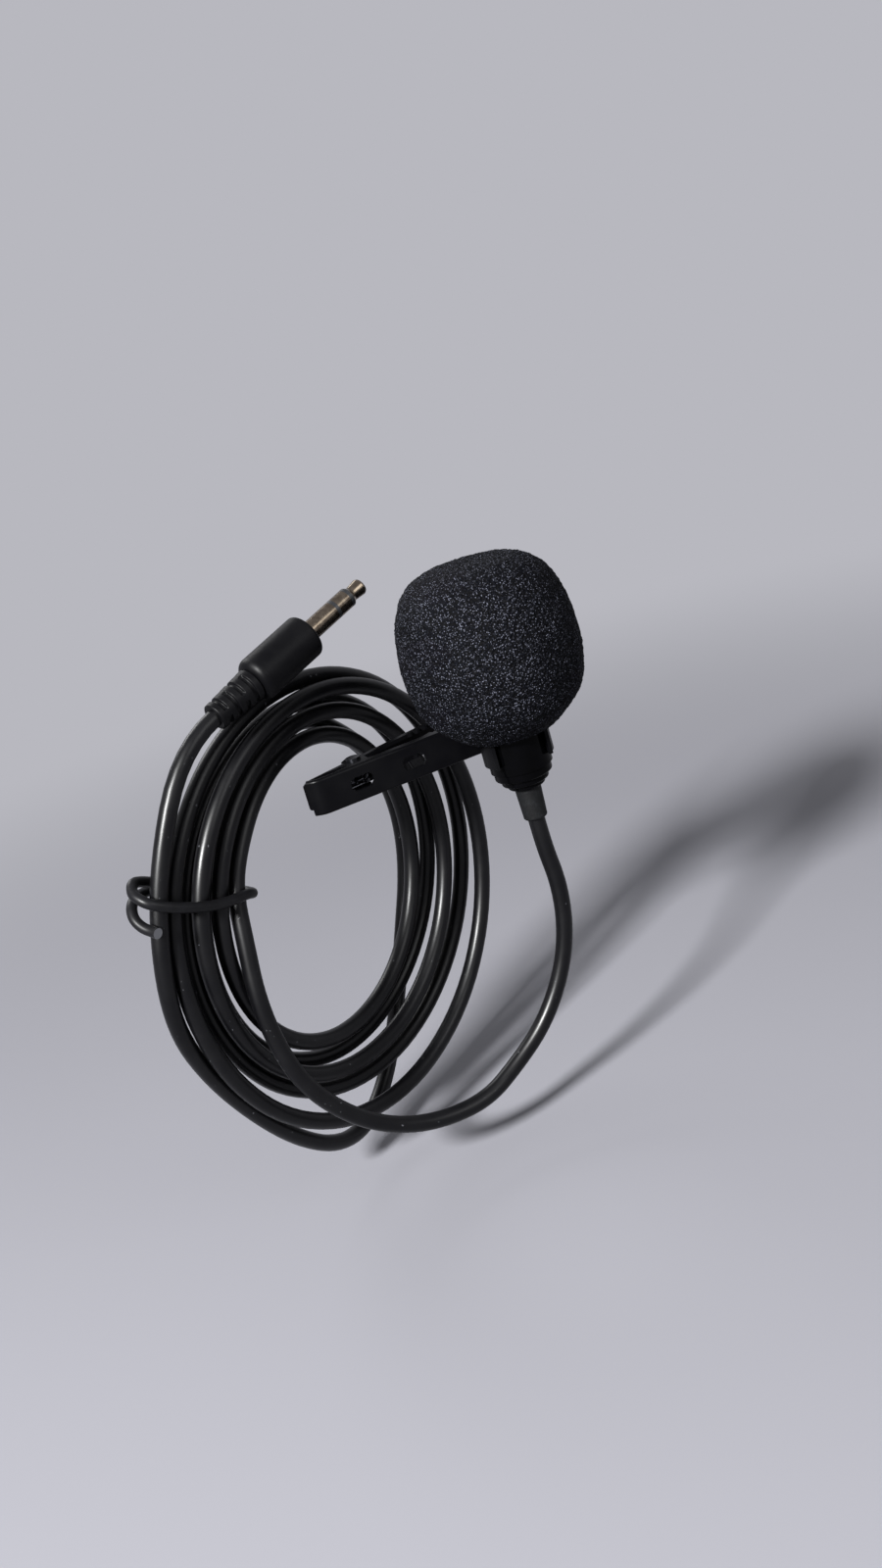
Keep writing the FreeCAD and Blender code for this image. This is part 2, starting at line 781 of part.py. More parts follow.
# Plug: contacts, relief and barrel, round the plug's own axis
barrel_back = size("relief_length")
barrel_front = barrel_back + size("barrel_length")
cavity_radius = size("barrel_radius") - size("barrel_wall")
cavity_front = barrel_front - size("barrel_front_wall")
neck_end = barrel_back + size("relief_neck_length")
cavity_back = neck_end + size("stack_gap")
sleeve_front = barrel_front + size("sleeve_length")
rear_insulator_end = sleeve_front + size("insulator_length")
band_front = rear_insulator_end + size("band_length")
front_insulator_end = band_front + size("insulator_length")
plug_end = barrel_front + size("shaft_length")
sleeve_back = cavity_front - size("sleeve_tail")
sleeve_stem = size("sleeve_stem_radius")
shaft_bore = size("shaft_radius") - size("shaft_wall")
tube_radius = shaft_bore - size("seat_gap")
rod_bore = size("tip_rod_radius") + size("seat_gap")
rod_back = sleeve_back - size("tip_rod_tail") + size("sleeve_tail")


def make_strain_relief():
    body = new_body("plug_strain_relief", plug_place)
    start = size("relief_start_radius")
    finish = size("relief_end_radius")
    depth = size("relief_groove_depth")
    rib = size("relief_rib_width")
    groove = size("relief_groove_width")
    first = size("relief_first_rib")
    step = value("relief_rib_width") + value("relief_groove_width")
    count = int((value("relief_length") - value("relief_first_rib")) / step)
    points = [(cord_bore, 0), (start, 0)]
    for index in range(count):
        low = first + (rib + groove) * index
        share = low.value / value("relief_length")
        radius = start + (finish - start) * share
        points += [(radius, low), (radius - depth, low)]
        points += [(radius - depth, low + groove), (radius + 0.12, low + groove)]
    neck = size("relief_neck_radius")
    points += [(finish, barrel_back), (neck, barrel_back), (neck, neck_end), (cord_bore, neck_end)]
    revolve(body, "relief", points)
    return body


def make_barrel():
    body = new_body("plug_barrel", plug_place)
    outer = size("barrel_radius")
    neck = size("relief_neck_radius") + size("seat_gap")
    shaft = sleeve_stem + size("seat_gap")
    revolved = revolve(body, "barrel", [
        (neck, barrel_back), (outer, barrel_back), (outer, barrel_front), (shaft, barrel_front),
        (shaft, cavity_front), (cavity_radius, cavity_front), (cavity_radius, cavity_back),
        (neck, cavity_back),
    ])
    shoulder = fillet(body, "shoulder", revolved,
                      lambda edge: is_rim(edge, outer.value, barrel_back.value), size("barrel_back_rounding"))
    fillet(body, "rounding", shoulder,
           lambda edge: is_rim(edge, outer.value, barrel_front.value), size("barrel_front_rounding"))
    return body


def make_plug_contacts():
    radius = size("shaft_radius")
    sleeve = new_body("plug_sleeve", plug_place)
    flange = size("sleeve_flange_radius")
    flange_top = cavity_front - size("stack_gap")
    flange_bottom = flange_top - size("sleeve_flange_height")
    revolve(sleeve, "sleeve", [
        (shaft_bore, sleeve_back), (sleeve_stem, sleeve_back), (sleeve_stem, flange_bottom),
        (flange, flange_bottom), (flange, flange_top), (sleeve_stem, flange_top),
        (sleeve_stem, barrel_front), (radius, barrel_front), (radius, sleeve_front),
        (shaft_bore, sleeve_front),
    ])
    rear = new_body("plug_insulator_rear", plug_place)
    revolve(rear, "ring", [(shaft_bore, sleeve_front), (radius, sleeve_front), (radius, rear_insulator_end),
                           (shaft_bore, rear_insulator_end)])
    band = new_body("plug_ring", plug_place)
    revolve(band, "band", [(shaft_bore, rear_insulator_end), (radius, rear_insulator_end),
                           (radius, band_front), (shaft_bore, band_front)])
    front = new_body("plug_insulator_front", plug_place)
    revolve(front, "ring", [(shaft_bore, band_front), (radius, band_front), (radius, front_insulator_end),
                            (shaft_bore, front_insulator_end)])
    tube = new_body("plug_insulator_tube", plug_place)
    revolve(tube, "tube", [(rod_bore, sleeve_back), (tube_radius, sleeve_back),
                           (tube_radius, front_insulator_end), (rod_bore, front_insulator_end)])
    tip = new_body("plug_tip", plug_place)
    rod = size("tip_rod_radius")
    neck = size("tip_neck_radius")
    bulb = size("tip_bulb_radius")
    nose = size("tip_nose_radius")
    room = plug_end - front_insulator_end
    revolve(tip, "tip", [
        (0, rod_back), (rod, rod_back), (rod, front_insulator_end), (radius, front_insulator_end),
        (neck, front_insulator_end + room * 0.2), (neck, front_insulator_end + room * 0.28),
        (bulb, front_insulator_end + room * 0.84),
        (nose + (bulb - nose) * 0.8, front_insulator_end + room * 0.94), (nose, plug_end), (0, plug_end),
    ])
    return [sleeve, rear, band, front, tube, tip]


def make_plug_cord_end():
    """Cord through the relief, ending in the barrel beside the solder joint."""
    body = new_body("cord_end_in_plug", plug_place)
    radius = size("cord_radius")
    finish = rod_back - size("seat_gap") * 4
    revolve(body, "cord", [(0, 0), (radius, 0), (radius, finish), (0, finish)])
    return body


# Tubes: straight runs joined by arcs, and biarcs through points with directions
def rounded_path(points):
    """Polyline with a tangent arc at each corner; returns edges and the least arc radius."""
    edges = []
    radii = []
    start = points[0]
    for before, corner, after in zip(points, points[1:], points[2:]):
        back = (before - corner).normalize()
        ahead = (after - corner).normalize()
        inside = math.acos(max(-1.0, min(1.0, back.dot(ahead))))
        reach = 0.45 * min((before - corner).Length, (after - corner).Length)
        radius = reach * math.tan(inside / 2)
        radii.append(radius)
        halfway = (back + ahead).normalize()
        centre = corner + halfway * (radius / math.sin(inside / 2))
        middle = centre - halfway * radius
        entry = corner + back * reach
        leave = corner + ahead * reach
        edges.append(Part.LineSegment(start, entry).toShape())
        edges.append(Part.Arc(entry, middle, leave).toShape())
        start = leave
    edges.append(Part.LineSegment(start, points[-1]).toShape())
    return edges, min(radii)


def arc_from(start, direction, finish):
    """Arc that leaves start along direction and ends at finish."""
    chord = finish - start
    along = direction.dot(chord)
    if chord.Length - abs(along) < 1e-7:
        return Part.LineSegment(start, finish).toShape()
    side = (chord - direction * along).normalize()
    radius = chord.dot(chord) / (2 * side.dot(chord))
    centre = start + side * radius
    middle = centre + ((start - centre).normalize() + (finish - centre).normalize()).normalize() * abs(radius)
    return Part.Arc(start, middle, finish).toShape()


def biarc(first, first_way, last, last_way):
    chord = last - first
    ways = first_way + last_way
    turn = 2 * (1 - first_way.dot(last_way))
    across = chord.dot(ways)
    reach = (math.sqrt(across * across + turn * chord.dot(chord)) - across) / turn
    joint = (first + first_way * reach + last - last_way * reach) * 0.5
    ending = arc_from(last, last_way * -1, joint)
    middle = ending.valueAt((ending.FirstParameter + ending.LastParameter) / 2)
    return [arc_from(first, first_way, joint), Part.Arc(joint, middle, last).toShape()]


def tube(label, edges, radius):
    """Sweep a round section along the edges; the volume is compared with section times length."""
    path = Part.Wire(edges)
    start = path.Edges[0].Vertexes[0].Point
    way = path.Edges[0].tangentAt(path.Edges[0].FirstParameter)
    section = Part.Wire(Part.Circle(start, way, radius).toShape())
    solid = path.makePipeShell([section], True, False)
    expected = math.pi * radius * radius * path.Length
    ratio = solid.Volume / expected
    print(f"{label}: length {path.Length:.1f}, volume ratio {ratio:.4f}, valid {solid.isValid()}")
    body = document.addObject("Part::Feature", label)
    body.Label = label
    body.Shape = solid
    return body


# Coil frame: down, towards the right of the coil, and out of its front face
yaw = math.radians(value("coil_yaw"))
tilt = math.radians(value("coil_tilt"))
coil_centre = Vector(value("coil_x"), value("coil_y"), value("coil_z"))
coil_down = Vector(-math.sin(tilt), 0, -math.cos(tilt))
coil_right = Vector(math.cos(tilt) * math.cos(yaw), math.sin(yaw), -math.sin(tilt) * math.cos(yaw))
coil_front = coil_down.cross(coil_right)
if coil_front.y > 0:
    coil_front = coil_front * -1


def smooth(share):
    share = max(0.0, min(1.0, share))
    return share * share * (3 - 2 * share)


def coil_point(turn):
    """Spiral out in the front layer and back in behind it, close at the tie and fanned out opposite."""
    angle = 2 * math.pi * turn
    free = 0.5 - 0.5 * math.sin(angle)
    low = 0.5 + 0.5 * math.cos(angle)
    out = abs(turn - value("coil_turn_back"))
    pitch = value("coil_pitch_tied") + (value("coil_pitch_free") - value("coil_pitch_tied")) * free
    pitch += value("coil_pitch_low") * (0.5 + 0.5 * math.cos(angle + math.radians(35)))
    belly = value("coil_belly") * (0.5 + 0.5 * math.cos(angle + math.radians(15))) ** 3
    belly *= max(0.0, 1 - out / 1.2)
    radius = value("coil_radius") + value("coil_sag") * low + belly - pitch * out
    layers = value("coil_layer_tied") + (value("coil_layer_free") - value("coil_layer_tied")) * free
    depth = layers * (0.5 - smooth((turn - value("coil_turn_back") + 0.25) / 0.5))
    outward = coil_down * math.cos(angle) - coil_right * math.sin(angle)
    return coil_centre + outward * radius + coil_front * depth


def coil_way(turn):
    return (coil_point(turn + 1e-4) - coil_point(turn - 1e-4)).normalize()


coil_first = coil_point(value("coil_start"))
coil_last = coil_point(value("coil_end"))
coil_first_way = coil_way(value("coil_start"))
coil_last_way = coil_way(value("coil_end"))
cord_straight = 2 * value("cord_radius")
lead_end = coil_first - coil_first_way * cord_straight
tail_start = coil_last + coil_last_way * cord_straight
boot_spot = mic_spot + Vector(0, 0, boot_end.value)

# Free lead from the boot round to the coil's front, and the tail from the coil to the plug
LEAD_POINTS = [
    (1.2, -13.7, -26.5),
    (1.8, -13.2, -33.0),
    (0.7, -12.6, -39.2),
    (-1.9, -12.0, -45.3),
    (-6.3, -11.4, -51.0),
    (-12.0, -10.8, -56.3),
    (-19.8, -10.1, -60.8),
    (-28.5, -10.0, -62.9),
    (-37.1, -10.9, -61.4),
    (-44.9, -15.8, -54.7),
    (-50.1, -19.3, -47.9),
    (-53.9, -21.8, -40.6),
    (-55.9, -23.2, -32.5),
    (-56.0, -22.6, -23.8),
]
TAIL_POINTS = [
    (-25.5, 8.2, 0.9),
    (-21.8, 13.7, -1.4),
    (-16.2, 18.9, -5.4),
    (-10.5, 22.9, -12.8),
    (-7.2, 25.7, -24.0),
    (-7.5, 26.0, -37.2),
    (-11.4, 23.7, -49.9),
    (-19.4, 18.5, -60.5),
    (-29.6, 11.5, -66.4),
    (-40.9, 3.7, -66.7),
    (-51.1, -3.9, -62.1),
    (-59.7, -10.7, -53.7),
    (-65.9, -16.5, -42.8),
    (-69.4, -20.7, -30.6),
    (-70.5, -22.5, -17.6),
    (-69.1, -22.5, -5.0),
    (-65.5, -22.7, 6.2),
]
# Tie wire round the bundle, as (outward, forward, up along the turns) from the bundle's middle
TIE_POINTS = [
    (12.3, -0.9, 1.6),
    (12.0, 2.0, 1.4),
    (9.8, 4.0, 0.6),
    (5.6, 4.9, -0.8),
    (-0.4, 5.0, -1.3),
    (-6.0, 5.0, -1.0),
    (-10.0, 4.0, -0.2),
    (-10.9, 0.0, 0.5),
    (-10.5, -4.8, 1.0),
    (-5.8, -6.1, 1.0),
    (0.8, -6.1, 1.2),
    (6.6, -6.4, 1.6),
    (11.4, -5.6, 2.6),
    (14.0, -3.0, 2.2),
    (14.2, -0.4, -1.4),
    (12.2, 1.4, -4.2),
    (9.2, 2.6, -5.8),
    (6.6, 3.0, -6.2),
]


def make_cords():
    join = value("coil_join_run")
    lead = [boot_spot, boot_spot - Vector(0, 0, value("lead_boot_run"))]
    lead += [Vector(*point) for point in LEAD_POINTS]
    lead += [lead_end - coil_first_way * join, lead_end]
    edges, least = rounded_path(lead)
    print(f"cable_lead least bend {least:.1f}")
    tube("cable_lead", edges, value("cord_radius"))

    tail = [tail_start, tail_start + coil_last_way * join]
    tail += [Vector(*point) for point in TAIL_POINTS]
    tail += [plug_root - plug_axis * value("plug_entry_run"), plug_root]
    edges, least = rounded_path(tail)
    print(f"cable_tail least bend {least:.1f}")
    tube("cable_tail", edges, value("cord_radius"))

    first = value("coil_start")
    last = value("coil_end")
    turns = [first]
    step = math.floor(first * 4) / 4 + 0.5
    while step < last - 0.05:
        turns.append(step)
        step += 0.25
    turns.append(last)
    edges = [Part.LineSegment(lead_end, coil_first).toShape()]
    for begin, finish in zip(turns, turns[1:]):
        edges += biarc(coil_point(begin), coil_way(begin), coil_point(finish), coil_way(finish))
    edges.append(Part.LineSegment(coil_last, tail_start).toShape())
    tube("cable_coil", edges, value("cord_radius"))
    print(f"cable_coil least gap to itself {coil_gap(edges):.2f}")


def coil_gap(edges):
    """Least distance between the surfaces of two stretches of the coil."""
    points = []
    travelled = []
    total = 0.0
    for edge in edges:
        count = max(2, int(edge.Length / 1.5))
        for index in range(count):
            share = index / count
            span = edge.LastParameter - edge.FirstParameter
            points.append(edge.valueAt(edge.FirstParameter + span * share))
            travelled.append(total + edge.Length * share)
        total += edge.Length
    least = 1e9
    for index, point in enumerate(points):
        for other in range(index + 1, len(points)):
            if travelled[other] - travelled[index] > 20:
                least = min(least, point.distanceToPoint(points[other]))
    return least - 2 * value("cord_radius")


def make_tie():
    angle = math.radians(value("tie_angle"))
    outward = coil_down * math.cos(angle) - coil_right * math.sin(angle)
    along = coil_right * -math.cos(angle) - coil_down * math.sin(angle)
    centre = coil_centre + outward * value("tie_centre")
    points = [centre + outward * out + coil_front * ahead + along * up for out, ahead, up in TIE_POINTS]
    edges, least = rounded_path(points)
    print(f"cable_tie least bend {least:.1f}")
    tube("cable_tie", edges, value("tie_radius"))


def make_spring():
    """Turns round the pin between the ears, with one leg on each lever."""
    wire = value("spring_wire") / 2
    mean = value("spring_mean_radius")
    leg = value("spring_leg")
    gap = value("spring_seat_gap")
    turns = value("spring_turns")
    height = value("spring_pitch") * turns
    front_foot = Vector(-leg, -(value("pin_to_front_web") - wire - gap), 0)
    rear_foot = Rotation(Vector(0, 0, 1), value("rest_opening")).multVec(
        Vector(-leg, value("pin_to_rear_web") - wire - value("spring_travel_gap"), 0))
    first = math.atan2(front_foot.y, front_foot.x) + math.acos(mean / front_foot.Length)
    last = math.atan2(rear_foot.y, rear_foot.x) - math.acos(mean / rear_foot.Length)
    sweep = (last - first) % (2 * math.pi) + 2 * math.pi * math.floor(turns)
    pitch = height / sweep
    low = Vector(0, 0, -height / 2)

    def spot(angle):
        return Vector(mean * math.cos(angle), mean * math.sin(angle), low.z + pitch * (angle - first))

    def way(angle):
        climb = 0 if angle in (first, first + sweep) else pitch
        return Vector(-mean * math.sin(angle), mean * math.cos(angle), climb).normalize()

    steps = 4 * math.ceil(sweep / (2 * math.pi))
    angles = [first + sweep * index / steps for index in range(steps)] + [first + sweep]
    begin = spot(first)
    finish = spot(angles[-1])
    leg_start = begin - way(first) * (front_foot - Vector(begin.x, begin.y, 0)).Length
    leg_finish = finish + way(angles[-1]) * (rear_foot - Vector(finish.x, finish.y, 0)).Length
    edges = [Part.LineSegment(leg_start, begin).toShape()]
    for one, other in zip(angles, angles[1:]):
        edges += biarc(spot(one), way(one), spot(other), way(other))
    edges.append(Part.LineSegment(finish, leg_finish).toShape())
    for edge in edges:
        edge.translate(hinge_spot)
    body = tube("clip_torsion_spring", edges, wire)
    return body


def main():
    make_front_arm()
    make_rear_arm()
    make_hinge_pin()
    make_holder_ring()
    make_holder_rivet()
    make_housing_tube()
    make_end_cap()
    make_boot()
    make_grille()
    make_capsule()
    make_chip()
    make_cord_end()
    make_windscreen()
    make_strain_relief()
    make_barrel()
    make_plug_contacts()
    make_plug_cord_end()
    make_spring()
    make_cords()
    make_tie()
    document.recompute()
    faults = 0
    for item in document.Objects:
        if "Invalid" in item.State or "Error" in item.State:
            print("fault in", item.Name, item.Label, item.State)
            faults += 1
    pieces = [item for item in document.Objects if item.TypeId in ("PartDesign::Body", "Part::Feature")]
    for piece in pieces:
        if piece.Shape.isNull() or not piece.Shape.isValid() or not piece.Shape.Solids:
            print("bad shape", piece.Label)
            faults += 1
            continue
        piece.Shape.exportStep(os.path.join("parts", piece.Label + ".step"))
        box = piece.Shape.BoundBox
        print(f"{piece.Label}: {len(piece.Shape.Solids)} solid, volume {piece.Shape.Volume:.2f}, "
              f"x {box.XMin:.1f}..{box.XMax:.1f} y {box.YMin:.1f}..{box.YMax:.1f} "
              f"z {box.ZMin:.1f}..{box.ZMax:.1f}")
    if faults:
        raise SystemExit(f"{faults} faults")


main()
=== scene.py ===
import math

import bmesh
import bpy
from mathutils import Matrix, Vector, noise


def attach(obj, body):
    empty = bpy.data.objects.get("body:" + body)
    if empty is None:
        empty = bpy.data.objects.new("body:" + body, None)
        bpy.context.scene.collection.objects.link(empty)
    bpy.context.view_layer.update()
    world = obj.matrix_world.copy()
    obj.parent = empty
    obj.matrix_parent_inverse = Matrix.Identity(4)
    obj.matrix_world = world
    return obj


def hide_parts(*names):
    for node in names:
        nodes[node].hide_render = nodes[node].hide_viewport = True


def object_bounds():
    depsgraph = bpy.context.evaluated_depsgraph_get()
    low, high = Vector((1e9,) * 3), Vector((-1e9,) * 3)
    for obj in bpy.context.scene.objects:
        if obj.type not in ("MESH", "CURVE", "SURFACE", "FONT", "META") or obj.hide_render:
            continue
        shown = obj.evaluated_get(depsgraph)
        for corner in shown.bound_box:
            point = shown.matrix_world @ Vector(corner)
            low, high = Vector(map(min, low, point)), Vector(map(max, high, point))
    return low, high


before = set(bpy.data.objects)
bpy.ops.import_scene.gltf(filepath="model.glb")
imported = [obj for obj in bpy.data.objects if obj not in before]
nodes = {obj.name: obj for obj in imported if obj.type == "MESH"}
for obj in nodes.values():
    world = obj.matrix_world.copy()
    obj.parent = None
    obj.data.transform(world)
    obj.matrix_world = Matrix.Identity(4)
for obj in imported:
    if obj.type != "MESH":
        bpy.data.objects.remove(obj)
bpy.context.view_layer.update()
MM = 0.001


# Spring clip: two arms folded from 0.7 mm steel sheet, one nested in the other on a headed pin.
# The sheet is stamped, folded and dipped in one satin black paint.
def linear(code):
    """sRGB hex to the linear colour that a shader takes."""
    shares = [int(code[start:start + 2], 16) / 255 for start in (1, 3, 5)]
    return (*[s / 12.92 if s <= 0.04045 else ((s + 0.055) / 1.055) ** 2.4 for s in shares], 1.0)


def add(tree, kind, inputs=None, **settings):
    """Adds a shader node with its settings; each input is a value or a socket to link."""
    made = tree.nodes.new(kind)
    for name, setting in settings.items():
        setattr(made, name, setting)
    for name, given in (inputs or {}).items():
        socket = made.inputs[name]
        if isinstance(given, bpy.types.NodeSocket):
            tree.links.new(given, socket)
        else:
            socket.default_value = given
    return made


def new_material(name):
    """An empty node material; returns it, its tree and the position on the piece in metres."""
    material = bpy.data.materials.new(name)
    material.use_nodes = True
    tree = material.node_tree
    tree.nodes.clear()
    place = add(tree, "ShaderNodeTexCoord").outputs["Object"]
    return material, tree, place


def finish_surface(tree, shader):
    add(tree, "ShaderNodeOutputMaterial", {"Surface": shader.outputs["BSDF"]})


def paint_ramp(tree, amount, stops):
    """Colour ramp through (position, hex) stops."""
    ramp = add(tree, "ShaderNodeValToRGB", {"Fac": amount})
    bands = ramp.color_ramp.elements
    while len(bands) < len(stops):
        bands.new(0.5)
    for band, (position, code) in zip(bands, stops):
        band.position = position
        band.color = linear(code)
    return ramp.outputs["Color"]


def per_mm(length):
    """Texture scale for a pattern whose cells are this many millimetres across."""
    return 1 / (length * MM)


def black_painted_steel():
    """Satin stoving paint: near black with a faint cloud, and an orange-peel skin 0.5 mm across."""
    material, tree, place = new_material("black_painted_steel")
    cloud = add(tree, "ShaderNodeTexNoise", {"Vector": place, "Scale": per_mm(6), "Detail": 3.0})
    peel = add(tree, "ShaderNodeTexNoise", {"Vector": place, "Scale": per_mm(0.5), "Detail": 2.0})
    colour = paint_ramp(tree, cloud.outputs["Fac"], [(0.3, "#020203"), (0.7, "#050506")])
    dull = add(tree, "ShaderNodeMapRange", {"Value": cloud.outputs["Fac"], "To Min": 0.26, "To Max": 0.38})
    bump = add(tree, "ShaderNodeBump", {
        "Height": peel.outputs["Fac"], "Strength": 0.12, "Distance": 0.03 * MM,
    })
    paint = add(tree, "ShaderNodeBsdfPrincipled", {
        "Base Color": colour, "Roughness": dull.outputs["Result"], "Normal": bump.outputs["Normal"],
        "Specular IOR Level": 0.07,
    })
    finish_surface(tree, paint)
    return material


def dress(name, material, edge=0.0):
    """Gives a CAD piece its finish; edge rounds its sharp edges by that many millimetres."""
    piece = nodes[name]
    piece.data.materials.clear()
    piece.data.materials.append(material)
    if edge:
        rounding = piece.modifiers.new("edge", "BEVEL")
        rounding.width = edge * MM
        rounding.segments = 2
        rounding.limit_method = "ANGLE"
        rounding.angle_limit = math.radians(40)
        rounding.harden_normals = True
    return piece


clip_paint = black_painted_steel()
dress("clip_front_arm", clip_paint, edge=0.1)
dress("clip_rear_arm", clip_paint, edge=0.1)


# Hinge pin and torsion spring: a peened steel pin, and 0.6 mm spring wire wound two turns round it.
# Both are blackened, so they are darker than bare steel but shine along their round sides.
def blackened_spring_steel():
    """Black oxide on drawn wire: a dark metal with fine die lines along it, drawn 0.15 mm apart."""
    material, tree, place = new_material("blackened_spring_steel")
    lines = add(tree, "ShaderNodeTexNoise", {"Vector": place, "Scale": per_mm(0.15), "Detail": 2.0})
    colour = paint_ramp(tree, lines.outputs["Fac"], [(0.3, "#2b2c30"), (0.7, "#4a4b50")])
    steel = add(tree, "ShaderNodeBsdfPrincipled", {"Base Color": colour, "Metallic": 1.0, "Roughness": 0.3})
    finish_surface(tree, steel)
    return material


spring_finish = blackened_spring_steel()
dress("clip_hinge_pin", spring_finish, edge=0.12)
dress("clip_torsion_spring", spring_finish)


# Holder ring: a rolled steel band that the housing turns in, riveted to the front arm through its foot.
# The ring and its rivet have the clip's own paint.
dress("mic_holder_ring", clip_paint, edge=0.1)
dress("holder_rivet", clip_paint, edge=0.08)


# Housing: a turned brass tube and stepped end cap, both in gloss black lacquer.
# The lacquer is smooth enough to mirror the lamps as thin upright streaks.
def black_lacquer():
    """Gloss lacquer over turned brass: a hard clear skin with faint turning lines 0.2 mm apart."""
    material, tree, place = new_material("black_lacquer")
    parts = add(tree, "ShaderNodeSeparateXYZ", {"Vector": place})
    turning = add(tree, "ShaderNodeTexNoise", {"W": parts.outputs["Z"], "Scale": per_mm(0.2), "Detail": 1.0},
                  noise_dimensions="1D")
    smear = add(tree, "ShaderNodeTexNoise", {"Vector": place, "Scale": per_mm(3), "Detail": 4.0})
    dull = add(tree, "ShaderNodeMapRange", {"Value": smear.outputs["Fac"], "From Min": 0.35, "From Max": 0.75,
                                            "To Min": 0.1, "To Max": 0.24})
    bump = add(tree, "ShaderNodeBump", {
        "Height": turning.outputs["Fac"], "Strength": 0.08, "Distance": 0.01 * MM,
    })
    colour = paint_ramp(tree, smear.outputs["Fac"], [(0.3, "#010101"), (0.8, "#020203")])
    lacquer = add(tree, "ShaderNodeBsdfPrincipled", {
        "Base Color": colour, "Roughness": dull.outputs["Result"], "Normal": bump.outputs["Normal"],
        "Specular IOR Level": 0.05,
    })
    finish_surface(tree, lacquer)
    return material


lacquer = black_lacquer()
dress("housing_tube", lacquer, edge=0.08)
dress("housing_end_cap", lacquer, edge=0.05)


# Capsule stack: what shows in the housing's mouth once the foam is off, and what lies under it.
# A punched steel grille, a silicone gasket, and an electret capsule in a drawn aluminium can.
def plain_metal(name, light, dark, roughness, streak):
    """Bare metal with a brushed cloud between two tones, streak millimetres across."""
    material, tree, place = new_material(name)
    brushing = add(tree, "ShaderNodeTexNoise", {"Vector": place, "Scale": per_mm(streak), "Detail": 3.0})
    colour = paint_ramp(tree, brushing.outputs["Fac"], [(0.3, dark), (0.7, light)])
    metal = add(tree, "ShaderNodeBsdfPrincipled", {
        "Base Color": colour, "Metallic": 1.0, "Roughness": roughness,
    })
    finish_surface(tree, metal)
    return material


def plain_plastic(name, light, dark, roughness, grain):
    """Moulded plastic or rubber: two close tones and a fine skin, grain millimetres across."""
    material, tree, place = new_material(name)
    skin = add(tree, "ShaderNodeTexNoise", {"Vector": place, "Scale": per_mm(grain), "Detail": 3.0})
    colour = paint_ramp(tree, skin.outputs["Fac"], [(0.3, dark), (0.7, light)])
    bump = add(tree, "ShaderNodeBump", {
        "Height": skin.outputs["Fac"], "Strength": 0.15, "Distance": 0.03 * MM,
    })
    plastic = add(tree, "ShaderNodeBsdfPrincipled", {
        "Base Color": colour, "Roughness": roughness, "Normal": bump.outputs["Normal"],
    })
    finish_surface(tree, plastic)
    return material


dress("grille_disc", plain_metal("punched_steel", "#8f9296", "#6b6e73", 0.35, 0.4))
dress("capsule_gasket", plain_plastic("silicone_rubber", "#1c1d20", "#111214", 0.6, 0.3))
dress("capsule_can", plain_metal("drawn_aluminium", "#cfd1d4", "#b4b6ba", 0.3, 0.8))
dress("capsule_film", plain_plastic("metallised_film", "#c6cace", "#b6babe", 0.15, 2.0))
brass = plain_metal("turned_brass", "#c79a4f", "#a37a38", 0.28, 0.5)
dress("capsule_spacer", brass)
dress("capsule_back_plate", brass)
dress("capsule_insulator", plain_plastic("natural_nylon", "#dcd8cc", "#cfcabd", 0.5, 0.5))
dress("capsule_board", plain_plastic("glass_laminate", "#2f6a40", "#234f31", 0.4, 0.4))
dress("capsule_amplifier", plain_plastic("chip_epoxy", "#1a1a1c", "#101012", 0.55, 0.2))
dress("cord_crimp", brass)
dress("cord_conductors", brass)


# Boot: moulded rubber round the cord where it leaves the cap, with a rough spark-eroded skin.
# The skin is coarse enough to break the highlight into grey speckle, and painted shade darkens its pits.
def rough_rubber():
    """Rubber from a spark-eroded mould: pits 0.35 mm across, with painted shade in the pits and paler raised
    grains between them.
    """
    material, tree, place = new_material("rough_rubber")
    pits = add(tree, "ShaderNodeTexNoise", {
        "Vector": place, "Scale": per_mm(0.35), "Detail": 4.0, "Roughness": 0.7,
    })
    cloud = add(tree, "ShaderNodeTexNoise", {"Vector": place, "Scale": per_mm(1.6), "Detail": 3.0})
    # Painted shade: the colour follows the pit bump, darkest in the pits, with a random cloud laid over it.
    pit_shade_and_cloud = add(tree, "ShaderNodeMath", {
        0: pits.outputs["Fac"], 1: cloud.outputs["Fac"],
    }, operation="MULTIPLY")
    colour = paint_ramp(tree, pit_shade_and_cloud.outputs["Value"], [(0.15, "#020203"), (0.3, "#060708"), (0.42, "#101114")])
    bump = add(tree, "ShaderNodeBump", {
        "Height": pits.outputs["Fac"], "Strength": 0.55, "Distance": 0.08 * MM,
    })
    rubber = add(tree, "ShaderNodeBsdfPrincipled", {
        "Base Color": colour, "Roughness": 0.6, "Normal": bump.outputs["Normal"], "Specular IOR Level": 0.16,
    })
    finish_surface(tree, rubber)
    return material


boot_rubber = rough_rubber()
dress("cable_boot", boot_rubber)


